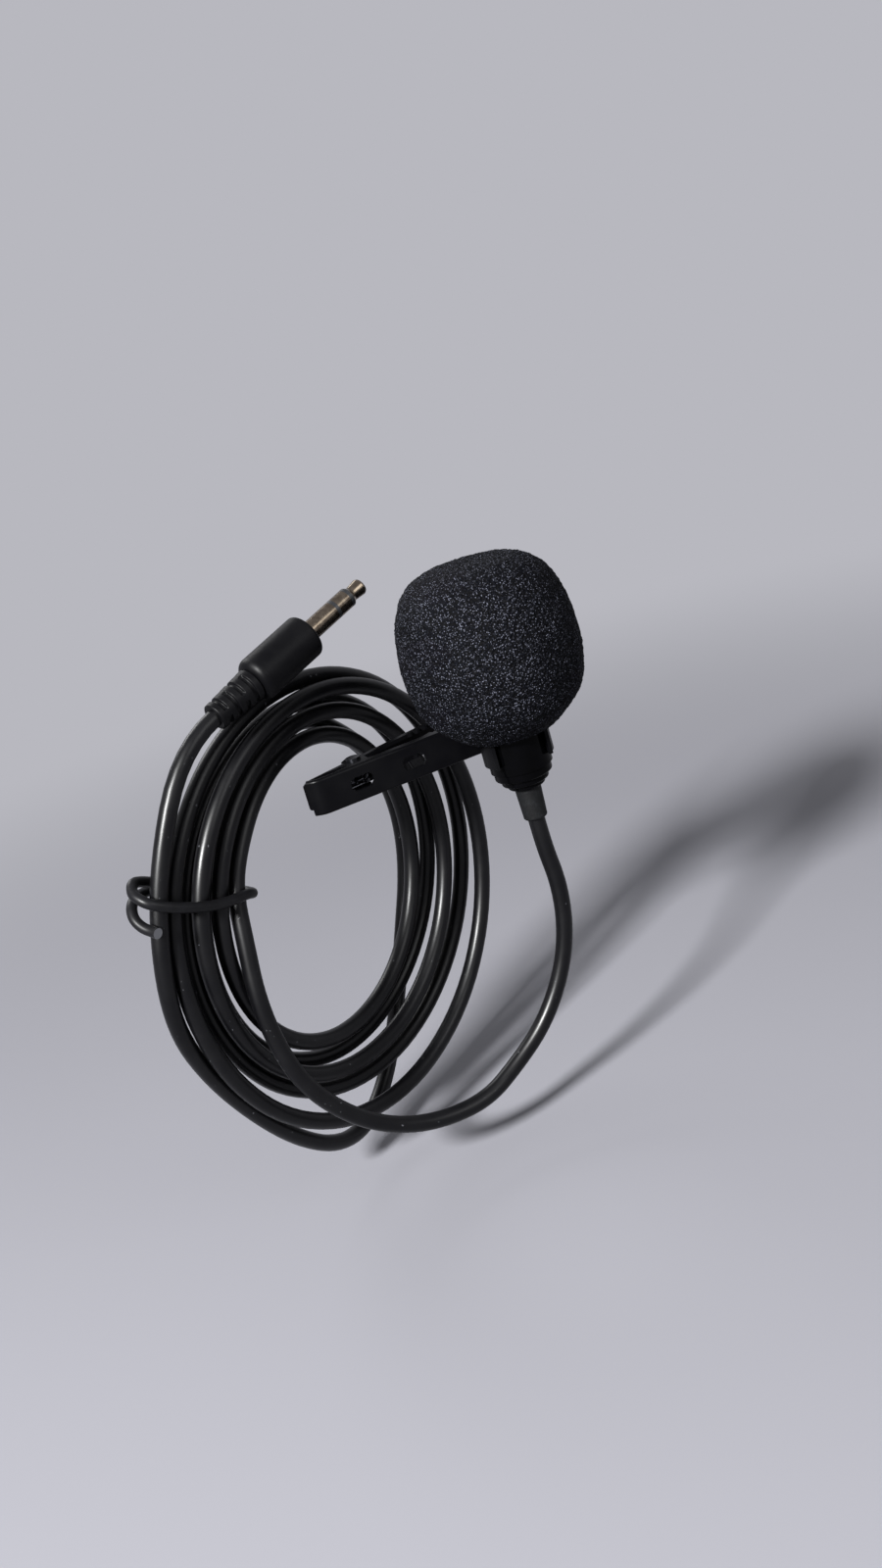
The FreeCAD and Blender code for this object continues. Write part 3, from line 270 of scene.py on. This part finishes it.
# Cord: one 1.4 m length of 3 mm screened cable in a satin black jacket.
# It loops from the boot to the coil, turns five times in two layers, and runs round the back to the plug.
def cord_jacket():
    """Extruded PVC: satin, very dark, with a slow wander in its gloss and a few pale specks of dust."""
    material, tree, place = new_material("extruded_pvc_jacket")
    wander = add(tree, "ShaderNodeTexNoise", {"Vector": place, "Scale": per_mm(5), "Detail": 4.0})
    skin = add(tree, "ShaderNodeTexNoise", {"Vector": place, "Scale": per_mm(0.3), "Detail": 2.0})
    dust = add(tree, "ShaderNodeTexNoise", {"Vector": place, "Scale": per_mm(0.7), "Detail": 1.0})
    jacket_colour = paint_ramp(tree, wander.outputs["Fac"], [(0.3, "#020203"), (0.7, "#050506")])
    speck = paint_ramp(tree, dust.outputs["Fac"], [(0.76, "#000000"), (0.8, "#ffffff")])
    colour = add(tree, "ShaderNodeMix", {"Factor": speck, "A": jacket_colour, "B": linear("#3c3d40")},
                 data_type="RGBA")
    dull = add(tree, "ShaderNodeMapRange", {"Value": wander.outputs["Fac"], "From Min": 0.3, "From Max": 0.7,
                                            "To Min": 0.32, "To Max": 0.38})
    bump = add(tree, "ShaderNodeBump", {
        "Height": skin.outputs["Fac"], "Strength": 0.08, "Distance": 0.03 * MM,
    })
    jacket = add(tree, "ShaderNodeBsdfPrincipled", {
        "Base Color": colour.outputs["Result"], "Roughness": dull.outputs["Result"],
        "Normal": bump.outputs["Normal"], "Specular IOR Level": 0.2,
    })
    finish_surface(tree, jacket)
    return material


CORD_RADIUS = 1.5
MIC_AXIS_X = 0.7
MIC_AXIS_Y = -13.938
BOOT_END = Vector((MIC_AXIS_X, MIC_AXIS_Y, -15.5))
PLUG_ROOT = Vector((-48.23, -15.64, 21.33))
PLUG_HEADING = math.radians(18.04)
PLUG_RISE = math.radians(16.36)
PLUG_AXIS = Vector((math.cos(PLUG_RISE) * math.cos(PLUG_HEADING),
                    math.cos(PLUG_RISE) * math.sin(PLUG_HEADING), math.sin(PLUG_RISE)))

COIL_CENTRE = Vector((-36.2, -0.8, -17.1))
COIL_YAW = math.radians(31.6)
COIL_TILT = math.radians(10)
COIL_START = 0.34
COIL_TURN_BACK = 3.25
COIL_END = 5.5
POINTS_A_TURN = 16
coil_down = Vector((-math.sin(COIL_TILT), 0, -math.cos(COIL_TILT)))
coil_right = Vector((math.cos(COIL_TILT) * math.cos(COIL_YAW), math.sin(COIL_YAW),
                     -math.sin(COIL_TILT) * math.cos(COIL_YAW)))
coil_front = coil_down.cross(coil_right)
if coil_front.y > 0:
    coil_front = -coil_front


def smooth(share):
    share = max(0.0, min(1.0, share))
    return share * share * (3 - 2 * share)


def coil_point(turn, swell=1.0):
    """Spiral out in front and back in behind, tight at the tie; swell offsets the spline's cut corners."""
    angle = 2 * math.pi * turn
    free = 0.5 - 0.5 * math.sin(angle)
    low = 0.5 + 0.5 * math.cos(angle)
    out = abs(turn - COIL_TURN_BACK)
    pitch = 4.2 + 0.2 * free ** 2 + 0.3 * (0.5 + 0.5 * math.cos(angle + math.radians(35)))
    belly = 6.9 * (0.5 + 0.5 * math.cos(angle + math.radians(15))) ** 3 * max(0.0, 1 - out / 1.5)
    droop = 2.0 * low * smooth((turn - 4.2) / 0.8)
    radius = (39.6 - 0.3 * low - 3.5 * (1 - free) + belly + droop - pitch * out) * swell
    layers = 3.3 + free
    depth = layers * (0.5 - smooth((turn - COIL_TURN_BACK + 0.25) / 0.5)) + (0.15 - 4.35 * free) * (out - 1.5)
    outward = coil_down * math.cos(angle) - coil_right * math.sin(angle)
    return COIL_CENTRE + outward * radius + coil_front * depth


def coil_way(turn):
    return (coil_point(turn + 1e-4) - coil_point(turn - 1e-4)).normalized()


# The free stretches before and after the coil, fitted to the photograph
LEAD_POINTS = [
    (1.4, -14.2, -28.0), (0.7, -14.3, -35.1), (-1.3, -14.2, -41.7), (-4.8, -14.1, -47.9),
    (-9.6, -14.3, -53.2), (-15.8, -14.6, -57.3), (-22.3, -15.6, -60.3), (-29.6, -16.4, -60.4),
    (-37.1, -17.3, -58.5), (-44.1, -18.3, -54.4), (-49.9, -19.1, -48.4), (-54.2, -19.6, -41.2),
    (-56.2, -19.5, -33.0), (-56.6, -18.6, -24.3), (-55.3, -17.0, -15.7),
]
TAIL_POINTS = [
    (-21.2, 11.4, 4.4), (-16.4, 15.7, -2.4), (-13.7, 18.7, -10.5), (-13.1, 20.4, -19.5),
    (-14.9, 20.9, -29.0), (-19.0, 20.0, -38.6), (-23.8, 17.1, -47.9), (-29.3, 12.7, -56.1),
    (-35.4, 7.3, -62.1), (-42.1, 1.7, -64.8), (-48.9, -3.5, -62.8), (-55.8, -7.9, -56.2),
    (-62.1, -11.8, -46.8), (-67.5, -15.6, -36.0), (-70.9, -19.5, -24.5), (-70.0, -21.7, -11.9),
    (-65.5, -20.6, 2.5),
]
# A quadratic spline runs inside the circle of its control points by this share of the radius
coil_swell = 1 / (0.75 + 0.25 * math.cos(2 * math.pi / POINTS_A_TURN))
coil_steps = math.ceil((COIL_END - COIL_START) * POINTS_A_TURN)
coil_turns = [COIL_START + (COIL_END - COIL_START) * step / coil_steps for step in range(coil_steps + 1)]
COIL_RUN = 7.0
BOOT_RUN = 5.5
PLUG_RUN = 8.0
coil_lead_in = coil_point(COIL_START) - coil_way(COIL_START) * COIL_RUN
coil_lead_out = coil_point(COIL_END) + coil_way(COIL_END) * COIL_RUN

cord_route = [BOOT_END, BOOT_END - Vector((0, 0, BOOT_RUN))]
cord_route += [Vector(point) for point in LEAD_POINTS]
cord_route += [coil_lead_in]
cord_route += [coil_point(turn, coil_swell) for turn in coil_turns]
cord_route += [coil_lead_out]
cord_route += [Vector(point) for point in TAIL_POINTS]
cord_route += [PLUG_ROOT - PLUG_AXIS * PLUG_RUN, PLUG_ROOT]


def round_line(name, route, radius, material):
    """A round cord or wire along one quadratic spline whose control points are given in millimetres."""
    curve = bpy.data.curves.new(name, "CURVE")
    curve.dimensions = "3D"
    spline = curve.splines.new("NURBS")
    spline.points.add(len(route) - 1)
    for point, spot in zip(spline.points, route):
        point.co = (*(spot * MM), 1.0)
    spline.order_u = 3
    spline.use_endpoint_u = True
    spline.resolution_u = 6
    curve.bevel_depth = radius * MM
    curve.bevel_resolution = 6
    curve.use_fill_caps = True
    curve.materials.append(material)
    line = bpy.data.objects.new(name, curve)
    bpy.context.collection.objects.link(line)
    return line


jacket = cord_jacket()
cord = round_line("cord", cord_route, CORD_RADIUS, jacket)
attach(cord, "clip")
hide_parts("cable_lead", "cable_coil", "cable_tail")
dress("cord_end_in_housing", jacket)
dress("cord_end_in_plug", jacket)


# Tie: a length of soft rubber-coated wire bent once round the bundle, its eye open at the outer side.
# Its snipped end shows the bright core of the wire.
TIE_RADIUS = 0.9
TIE_POINTS = [
    (-69.2, -25.4, -5.4), (-69.7, -24.4, -5.2), (-70.9, -23.0, -4.4), (-71.6, -21.6, -2.9),
    (-71.0, -19.8, -1.3), (-69.3, -17.4, -1.0), (-67.1, -15.0, -1.6), (-65.8, -14.4, -2.0),
    (-62.8, -12.2, -3.7), (-59.3, -10.3, -5.7), (-55.4, -9.0, -7.8), (-51.9, -11.0, -8.9),
    (-50.7, -14.4, -8.9), (-52.2, -16.9, -7.7), (-55.6, -19.1, -7.1), (-59.2, -21.1, -6.0),
    (-62.6, -22.7, -4.4), (-65.4, -23.7, -3.0), (-68.8, -24.1, -1.0), (-70.1, -22.6, 0.3),
    (-70.4, -21.2, 0.9), (-69.7, -19.6, 2.0), (-67.9, -18.0, 1.2), (-66.0, -16.6, -0.2),
]


def coated_wire(tip, facing):
    """Soft black coating, and the bare cut face where the wire was snipped at its tip."""
    material, tree, place = new_material("soft_coated_wire")
    wander = add(tree, "ShaderNodeTexNoise", {"Vector": place, "Scale": per_mm(1.5), "Detail": 3.0})
    coating = paint_ramp(tree, wander.outputs["Fac"], [(0.3, "#060607"), (0.7, "#0b0b0d")])
    away = add(tree, "ShaderNodeVectorMath", {0: place, 1: tip}, operation="DISTANCE")
    at_tip = add(tree, "ShaderNodeMath", {0: away.outputs["Value"], 1: 1.3 * MM}, operation="LESS_THAN")
    normal = add(tree, "ShaderNodeNewGeometry").outputs["Normal"]
    along = add(tree, "ShaderNodeVectorMath", {0: normal, 1: facing}, operation="DOT_PRODUCT")
    face_on = add(tree, "ShaderNodeMath", {0: along.outputs["Value"], 1: 0.8}, operation="GREATER_THAN")
    cut = add(tree, "ShaderNodeMath", {
        0: at_tip.outputs["Value"], 1: face_on.outputs["Value"],
    }, operation="MULTIPLY")
    colour = add(tree, "ShaderNodeMix", {
        "Factor": cut.outputs["Value"], "A": coating, "B": linear("#505155"),
    }, data_type="RGBA")
    rubber = add(tree, "ShaderNodeBsdfPrincipled", {
        "Base Color": colour.outputs["Result"], "Roughness": 0.4, "Specular IOR Level": 0.16,
    })
    finish_surface(tree, rubber)
    return material


tie_route = [Vector(point) for point in TIE_POINTS]
tie_rubber = coated_wire(tuple(tie_route[0] * MM), tuple((tie_route[0] - tie_route[1]).normalized()))
tie = round_line("cord_tie", tie_route, TIE_RADIUS, tie_rubber)
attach(tie, "clip")
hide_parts("cable_tie")


# Plug: a 3.5 mm jack in a moulded barrel with a ribbed strain relief behind it.
# Barrel and relief are one soft black compound; the contacts are nickel plate between black rings.
def moulded_pvc():
    """Soft moulded PVC: matt, with a fine sparked skin 0.25 mm across that softens every highlight."""
    material, tree, place = new_material("moulded_pvc")
    skin = add(tree, "ShaderNodeTexNoise", {"Vector": place, "Scale": per_mm(0.25), "Detail": 2.0})
    cloud = add(tree, "ShaderNodeTexNoise", {"Vector": place, "Scale": per_mm(4), "Detail": 4.0})
    colour = paint_ramp(tree, cloud.outputs["Fac"], [(0.3, "#020203"), (0.7, "#050506")])
    dull = add(tree, "ShaderNodeMapRange", {"Value": cloud.outputs["Fac"], "From Min": 0.3, "From Max": 0.7,
                                            "To Min": 0.4, "To Max": 0.5})
    bump = add(tree, "ShaderNodeBump", {
        "Height": skin.outputs["Fac"], "Strength": 0.2, "Distance": 0.04 * MM,
    })
    plastic = add(tree, "ShaderNodeBsdfPrincipled", {
        "Base Color": colour, "Roughness": dull.outputs["Result"], "Normal": bump.outputs["Normal"],
        "Specular IOR Level": 0.09,
    })
    finish_surface(tree, plastic)
    return material


def nickel_plate():
    """Warm nickel over turned brass: a mirror dulled by fine turning and handling marks."""
    material, tree, place = new_material("nickel_plate")
    marks = add(tree, "ShaderNodeTexNoise", {"Vector": place, "Scale": per_mm(0.8), "Detail": 5.0})
    colour = paint_ramp(tree, marks.outputs["Fac"], [(0.3, "#6a5f52"), (0.7, "#84796a")])
    dull = add(tree, "ShaderNodeMapRange", {"Value": marks.outputs["Fac"], "From Min": 0.3, "From Max": 0.7,
                                            "To Min": 0.14, "To Max": 0.24})
    plate = add(tree, "ShaderNodeBsdfPrincipled", {
        "Base Color": colour, "Metallic": 1.0, "Roughness": dull.outputs["Result"],
    })
    finish_surface(tree, plate)
    return material


plug_compound = moulded_pvc()
plug_nickel = nickel_plate()
ring_plastic = plain_plastic("black_acetal", "#17181a", "#0e0f10", 0.35, 0.5)
dress("plug_barrel", plug_compound)
dress("plug_sleeve", plug_nickel)
dress("plug_ring", plug_nickel)
dress("plug_tip", plug_nickel)
dress("plug_insulator_rear", ring_plastic)
dress("plug_insulator_front", ring_plastic)
dress("plug_insulator_tube", plain_plastic("natural_acetal", "#d8d4c8", "#cbc6b9", 0.45, 0.5))

# Four grooves go round the relief, each crossed by two webs that sit a quarter turn from the next pair
RELIEF_LENGTH = 9.05
RELIEF_START_RADIUS = 2.35
RELIEF_END_RADIUS = 2.9
RELIEF_FIRST_GROOVE = 1.2
RELIEF_GROOVE = 0.75
RELIEF_STEP = 1.95
RELIEF_DEPTH = 0.5
RELIEF_WEB = math.radians(32)
RELIEF_SOFTNESS = 0.16
plug_place = Matrix.Translation(PLUG_ROOT) @ PLUG_AXIS.to_track_quat("Z", "Y").to_matrix().to_4x4()


def relief_radius(along, angle):
    share = along / RELIEF_LENGTH
    radius = RELIEF_START_RADIUS + (RELIEF_END_RADIUS - RELIEF_START_RADIUS) * share
    for groove in range(4):
        middle = RELIEF_FIRST_GROOVE + RELIEF_STEP * groove + RELIEF_GROOVE / 2
        inside = smooth((RELIEF_GROOVE / 2 + RELIEF_SOFTNESS / 2 - abs(along - middle)) / RELIEF_SOFTNESS)
        turned = (angle + math.pi / 2 * (groove % 2)) % math.pi
        off_web = min(turned, math.pi - turned) - RELIEF_WEB / 2
        radius -= RELIEF_DEPTH * inside * smooth(off_web * radius / RELIEF_SOFTNESS)
    end = min(along, RELIEF_LENGTH - along)
    return radius - 0.25 * (1 - smooth(end / 0.3)) ** 2


def lathe(name, stations, around, material, place, radius_at):
    """Skin of rings along Z closed on both ends; radius_at gives the radius for a height and an angle."""
    mesh = bpy.data.meshes.new(name)
    shape = bmesh.new()
    rings = []
    for along in stations:
        ring = []
        for step in range(around):
            angle = 2 * math.pi * step / around
            radius = radius_at(along, angle)
            spot = place @ Vector((radius * math.cos(angle), radius * math.sin(angle), along))
            ring.append(shape.verts.new(spot * MM))
        rings.append(ring)
    for low, high in zip(rings, rings[1:]):
        for step in range(around):
            following = (step + 1) % around
            shape.faces.new((low[step], low[following], high[following], high[step]))
    shape.faces.new(list(reversed(rings[0])))
    shape.faces.new(rings[-1])
    bmesh.ops.recalc_face_normals(shape, faces=shape.faces)
    shape.to_mesh(mesh)
    shape.free()
    for face in mesh.polygons:
        face.use_smooth = len(face.vertices) == 4
    mesh.materials.append(material)
    piece = bpy.data.objects.new(name, mesh)
    bpy.context.collection.objects.link(piece)
    return piece


relief_stations = [RELIEF_LENGTH * step / 130 for step in range(131)]
relief = lathe("strain_relief", relief_stations, 96, plug_compound, plug_place, relief_radius)
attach(relief, "clip")
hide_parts("plug_strain_relief")


# Windscreen: a reticulated polyurethane foam ball pushed over the housing, cut flat on top.
# It presses down over the ring and the end of the arm; pale grains painted into its colour stand in for
# glints off its cut struts.
FOAM_OUTLINE = [
    (0.0, 7.9), (5.7, 7.9), (5.75, 5.0), (5.75, 1.4), (6.0, 0.65), (6.9, 0.45), (8.0, 0.95), (9.6, 2.05),
    (11.5, 3.6), (13.3, 5.5), (14.5, 7.8), (15.2, 10.4), (15.55, 13.2), (15.6, 16.0), (15.45, 18.9),
    (15.0, 21.8), (14.2, 24.6), (12.9, 27.2), (11.0, 29.3), (8.4, 30.6), (5.0, 31.0), (0.0, 31.05),
]
FOAM_VOXEL = 0.32
FOAM_PRESS_TOP = 3.45
FOAM_PRESS_BLEND = 1.4
ARM_FACE_Y = -7.48
ARM_END_X = 3.0


def reticulated_foam():
    """Polyurethane foam: pores 0.42 mm across in dark blue-black struts, with painted shade where the pore
    bump lies deep, and pale painted glints where cut struts would catch the light.
    """
    material, tree, place = new_material("reticulated_foam")
    pores = add(tree, "ShaderNodeTexVoronoi", {"Vector": place, "Scale": per_mm(0.42)}, feature="F1")
    # Painted glints: scattered grains take a pale grey that stands in for light glinting off cut struts.
    painted_glint_cells = add(tree, "ShaderNodeTexVoronoi", {"Vector": place, "Scale": per_mm(0.25)}, feature="F1")
    chance = add(tree, "ShaderNodeSeparateColor", {"Color": painted_glint_cells.outputs["Color"]})
    picked = add(tree, "ShaderNodeMapRange", {
        "Value": chance.outputs["Red"], "From Min": 0.5, "From Max": 1.0,
    })
    spot = add(tree, "ShaderNodeMapRange", {
        "Value": painted_glint_cells.outputs["Distance"], "From Min": 0.5, "From Max": 0.15,
    })
    painted_glint = add(tree, "ShaderNodeMath", {0: picked.outputs["Result"], 1: spot.outputs["Result"]},
                operation="MULTIPLY")
    # Painted shade: the strut colour darkens where the pore bump lies deep.
    strut_and_pore_shade = paint_ramp(tree, pores.outputs["Distance"], [(0.1, "#030409"), (0.6, "#010102")])
    colour = add(tree, "ShaderNodeMix", {
        "Factor": painted_glint.outputs["Value"], "A": strut_and_pore_shade, "B": linear("#545661"),
    }, data_type="RGBA")
    deep = add(tree, "ShaderNodeMath", {0: pores.outputs["Distance"], 1: -1.0}, operation="MULTIPLY")
    bump = add(tree, "ShaderNodeBump", {
        "Height": deep.outputs["Value"], "Strength": 0.9, "Distance": 0.25 * MM,
    })
    foam_shader = add(tree, "ShaderNodeBsdfPrincipled", {
        "Base Color": colour.outputs["Result"], "Roughness": 0.75, "Normal": bump.outputs["Normal"],
        "Specular IOR Level": 0.05,
    })
    finish_surface(tree, foam_shader)
    return material


def foam_outline_mesh():
    """Closed skin turned from the outline, fine enough round the axis for the voxel remesh that follows."""
    around = 96
    mesh = bpy.data.meshes.new("foam_outline")
    shape = bmesh.new()
    rings = []
    for radius, height in FOAM_OUTLINE[1:-1]:
        ring = []
        for step in range(around):
            angle = 2 * math.pi * step / around
            along_x = MIC_AXIS_X + radius * math.cos(angle)
            along_y = MIC_AXIS_Y + radius * math.sin(angle)
            ring.append(shape.verts.new(Vector((along_x, along_y, height)) * MM))
        rings.append(ring)
    for low, high in zip(rings, rings[1:]):
        for step in range(around):
            following = (step + 1) % around
            shape.faces.new((low[step], low[following], high[following], high[step]))
    shape.faces.new(rings[0])
    shape.faces.new(rings[-1])
    bmesh.ops.recalc_face_normals(shape, faces=shape.faces)
    shape.to_mesh(mesh)
    shape.free()
    return mesh


def voxel_remeshed(mesh, voxel):
    """The same skin in even quads of one voxel."""
    holder = bpy.data.objects.new("remesh_holder", mesh)
    bpy.context.collection.objects.link(holder)
    remesh = holder.modifiers.new("remesh", "REMESH")
    remesh.mode = "VOXEL"
    remesh.voxel_size = voxel * MM
    remesh.use_smooth_shade = True
    evaluated = holder.evaluated_get(bpy.context.evaluated_depsgraph_get())
    even = bpy.data.meshes.new_from_object(evaluated)
    bpy.data.objects.remove(holder)
    return even


foam_mesh = voxel_remeshed(foam_outline_mesh(), FOAM_VOXEL)
foam_mesh.name = "foam_windscreen_skin"
for vertex, normal in zip(foam_mesh.vertices, [n.vector.copy() for n in foam_mesh.vertex_normals]):
    spot = vertex.co / MM
    from_axis = math.hypot(spot.x - MIC_AXIS_X, spot.y - MIC_AXIS_Y)
    if from_axis < 6.1 and spot.z < 8.3:
        continue
    lumps = noise.noise(spot / 4.0) * 0.12
    grains = noise.noise(spot / 0.45) * 0.16 + noise.noise(spot / 0.8 + Vector((7, 3, 1))) * 0.1
    spot += normal * (lumps + grains - 0.08)
    over_arm = smooth((spot.y - ARM_FACE_Y + 0.3 + FOAM_PRESS_BLEND) / FOAM_PRESS_BLEND)
    over_arm *= smooth((ARM_END_X + 0.4 + FOAM_PRESS_BLEND - spot.x) / FOAM_PRESS_BLEND)
    pressed = FOAM_PRESS_TOP + 0.12 * grains
    if spot.z < pressed:
        spot.z += (pressed - spot.z) * over_arm
    vertex.co = spot * MM
foam_mesh.materials.append(reticulated_foam())
foam = bpy.data.objects.new("foam_ball", foam_mesh)
bpy.context.collection.objects.link(foam)
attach(foam, "windscreen")
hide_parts("foam_windscreen")


# Floor and air: a pale floor under the hanging part that fades, away from it, into the world's pale grey.
# The camera sees the world as backdrop; so do polished metal and lacquer.
BACKDROP = "#b8b8bf"
lowest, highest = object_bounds()
floor_mesh = bpy.data.meshes.new("floor")
floor_half = 1.5
floor_z = lowest.z - 6 * MM
floor_mesh.from_pydata(
    [(-floor_half, -floor_half, floor_z), (floor_half, -floor_half, floor_z),
     (floor_half, floor_half, floor_z), (-floor_half, floor_half, floor_z)], [], [(0, 1, 2, 3)])
floor = bpy.data.objects.new("floor", floor_mesh)
bpy.context.collection.objects.link(floor)
floor_paint, floor_tree, floor_place = new_material("matt_floor_paint")
under_object = add(floor_tree, "ShaderNodeVectorMath", {0: floor_place, 1: (-0.02, 0.02, floor_z)},
                   operation="DISTANCE")
far_off = add(floor_tree, "ShaderNodeMapRange", {
    "Value": under_object.outputs["Value"], "From Min": 0.12, "From Max": 0.4,
}, interpolation_type="SMOOTHSTEP")
matt = add(floor_tree, "ShaderNodeBsdfDiffuse", {"Color": linear("#6c6c71")})
haze = add(floor_tree, "ShaderNodeEmission", {"Color": linear(BACKDROP)})
fading = add(floor_tree, "ShaderNodeMixShader", {
    0: far_off.outputs["Result"], 1: matt.outputs[0], 2: haze.outputs[0],
})
add(floor_tree, "ShaderNodeOutputMaterial", {"Surface": fading.outputs[0]})
floor_mesh.materials.append(floor_paint)

world = bpy.data.worlds.new("studio_air")
world.use_nodes = True
bpy.context.scene.world = world
air = world.node_tree
air.nodes.clear()
ray = add(air, "ShaderNodeLightPath")
seen = add(air, "ShaderNodeMath", {0: ray.outputs["Is Camera Ray"], 1: ray.outputs["Is Glossy Ray"]},
           operation="MAXIMUM")
dim = add(air, "ShaderNodeBackground", {"Color": linear("#e8e9ee"), "Strength": 0.35})
pale = add(air, "ShaderNodeBackground", {"Color": linear(BACKDROP), "Strength": 1.0})
backdrop = add(air, "ShaderNodeMixShader", {0: seen.outputs["Value"], 1: dim.outputs[0], 2: pale.outputs[0]})
add(air, "ShaderNodeOutputWorld", {"Surface": backdrop.outputs[0]})


# Lamps: a key from the upper left front that draws the thin highlights, and a wide weak fill at the right.
# A third, weak lamp behind the part lights its upper rim.
def soft_lamp(name, spot, aim, across, power):
    lamp = bpy.data.lights.new(name, "AREA")
    lamp.shape = "DISK"
    lamp.size = across
    lamp.energy = power
    holder = bpy.data.objects.new(name, lamp)
    holder.location = spot
    holder.rotation_euler = (Vector(aim) - Vector(spot)).to_track_quat("-Z", "Y").to_euler()
    bpy.context.collection.objects.link(holder)
    return holder


soft_lamp("key_lamp", (-0.63, -0.53, 0.485), (-0.02, 0, -0.01), 0.16, 42.0)
soft_lamp("fill_lamp", (0.3, -0.7, 0.4), (-0.02, 0, -0.01), 0.5, 2.0)
soft_lamp("rim_lamp", (-0.2, 0.6, 0.5), (-0.02, 0, -0.01), 0.4, 2.5)


# Camera: at the photograph's angle, tipped because the part hangs at a slant there.
# Its lens is given by the focal length in picture heights.
CAMERA_AZIMUTH = math.radians(-18)
CAMERA_ELEVATION = math.radians(17)
CAMERA_ROLL = math.radians(16.28)
CAMERA_DISTANCE = 315.0
CAMERA_TARGET = Vector((-9.81, 0, -7.96))
FOCAL_PIXELS = 1800
PHOTO_HEIGHT = 1600
forward = Vector((-math.sin(CAMERA_AZIMUTH) * math.cos(CAMERA_ELEVATION),
                  math.cos(CAMERA_AZIMUTH) * math.cos(CAMERA_ELEVATION), -math.sin(CAMERA_ELEVATION)))
level_right = Vector((math.cos(CAMERA_AZIMUTH), math.sin(CAMERA_AZIMUTH), 0))
level_up = level_right.cross(forward)
camera_right = level_right * math.cos(CAMERA_ROLL) - level_up * math.sin(CAMERA_ROLL)
camera_up = level_right * math.sin(CAMERA_ROLL) + level_up * math.cos(CAMERA_ROLL)
camera_data = bpy.data.cameras.new("camera")
camera_data.sensor_width = 36.0
camera_data.lens = camera_data.sensor_width * FOCAL_PIXELS / PHOTO_HEIGHT
camera_data.clip_start = 0.01
camera = bpy.data.objects.new("camera", camera_data)
bpy.context.collection.objects.link(camera)
turned = Matrix((camera_right, camera_up, -forward)).transposed().to_4x4()
camera.matrix_world = Matrix.Translation((CAMERA_TARGET - forward * CAMERA_DISTANCE) * MM) @ turned
bpy.context.scene.camera = camera
bpy.context.scene.view_settings.view_transform = "Standard"
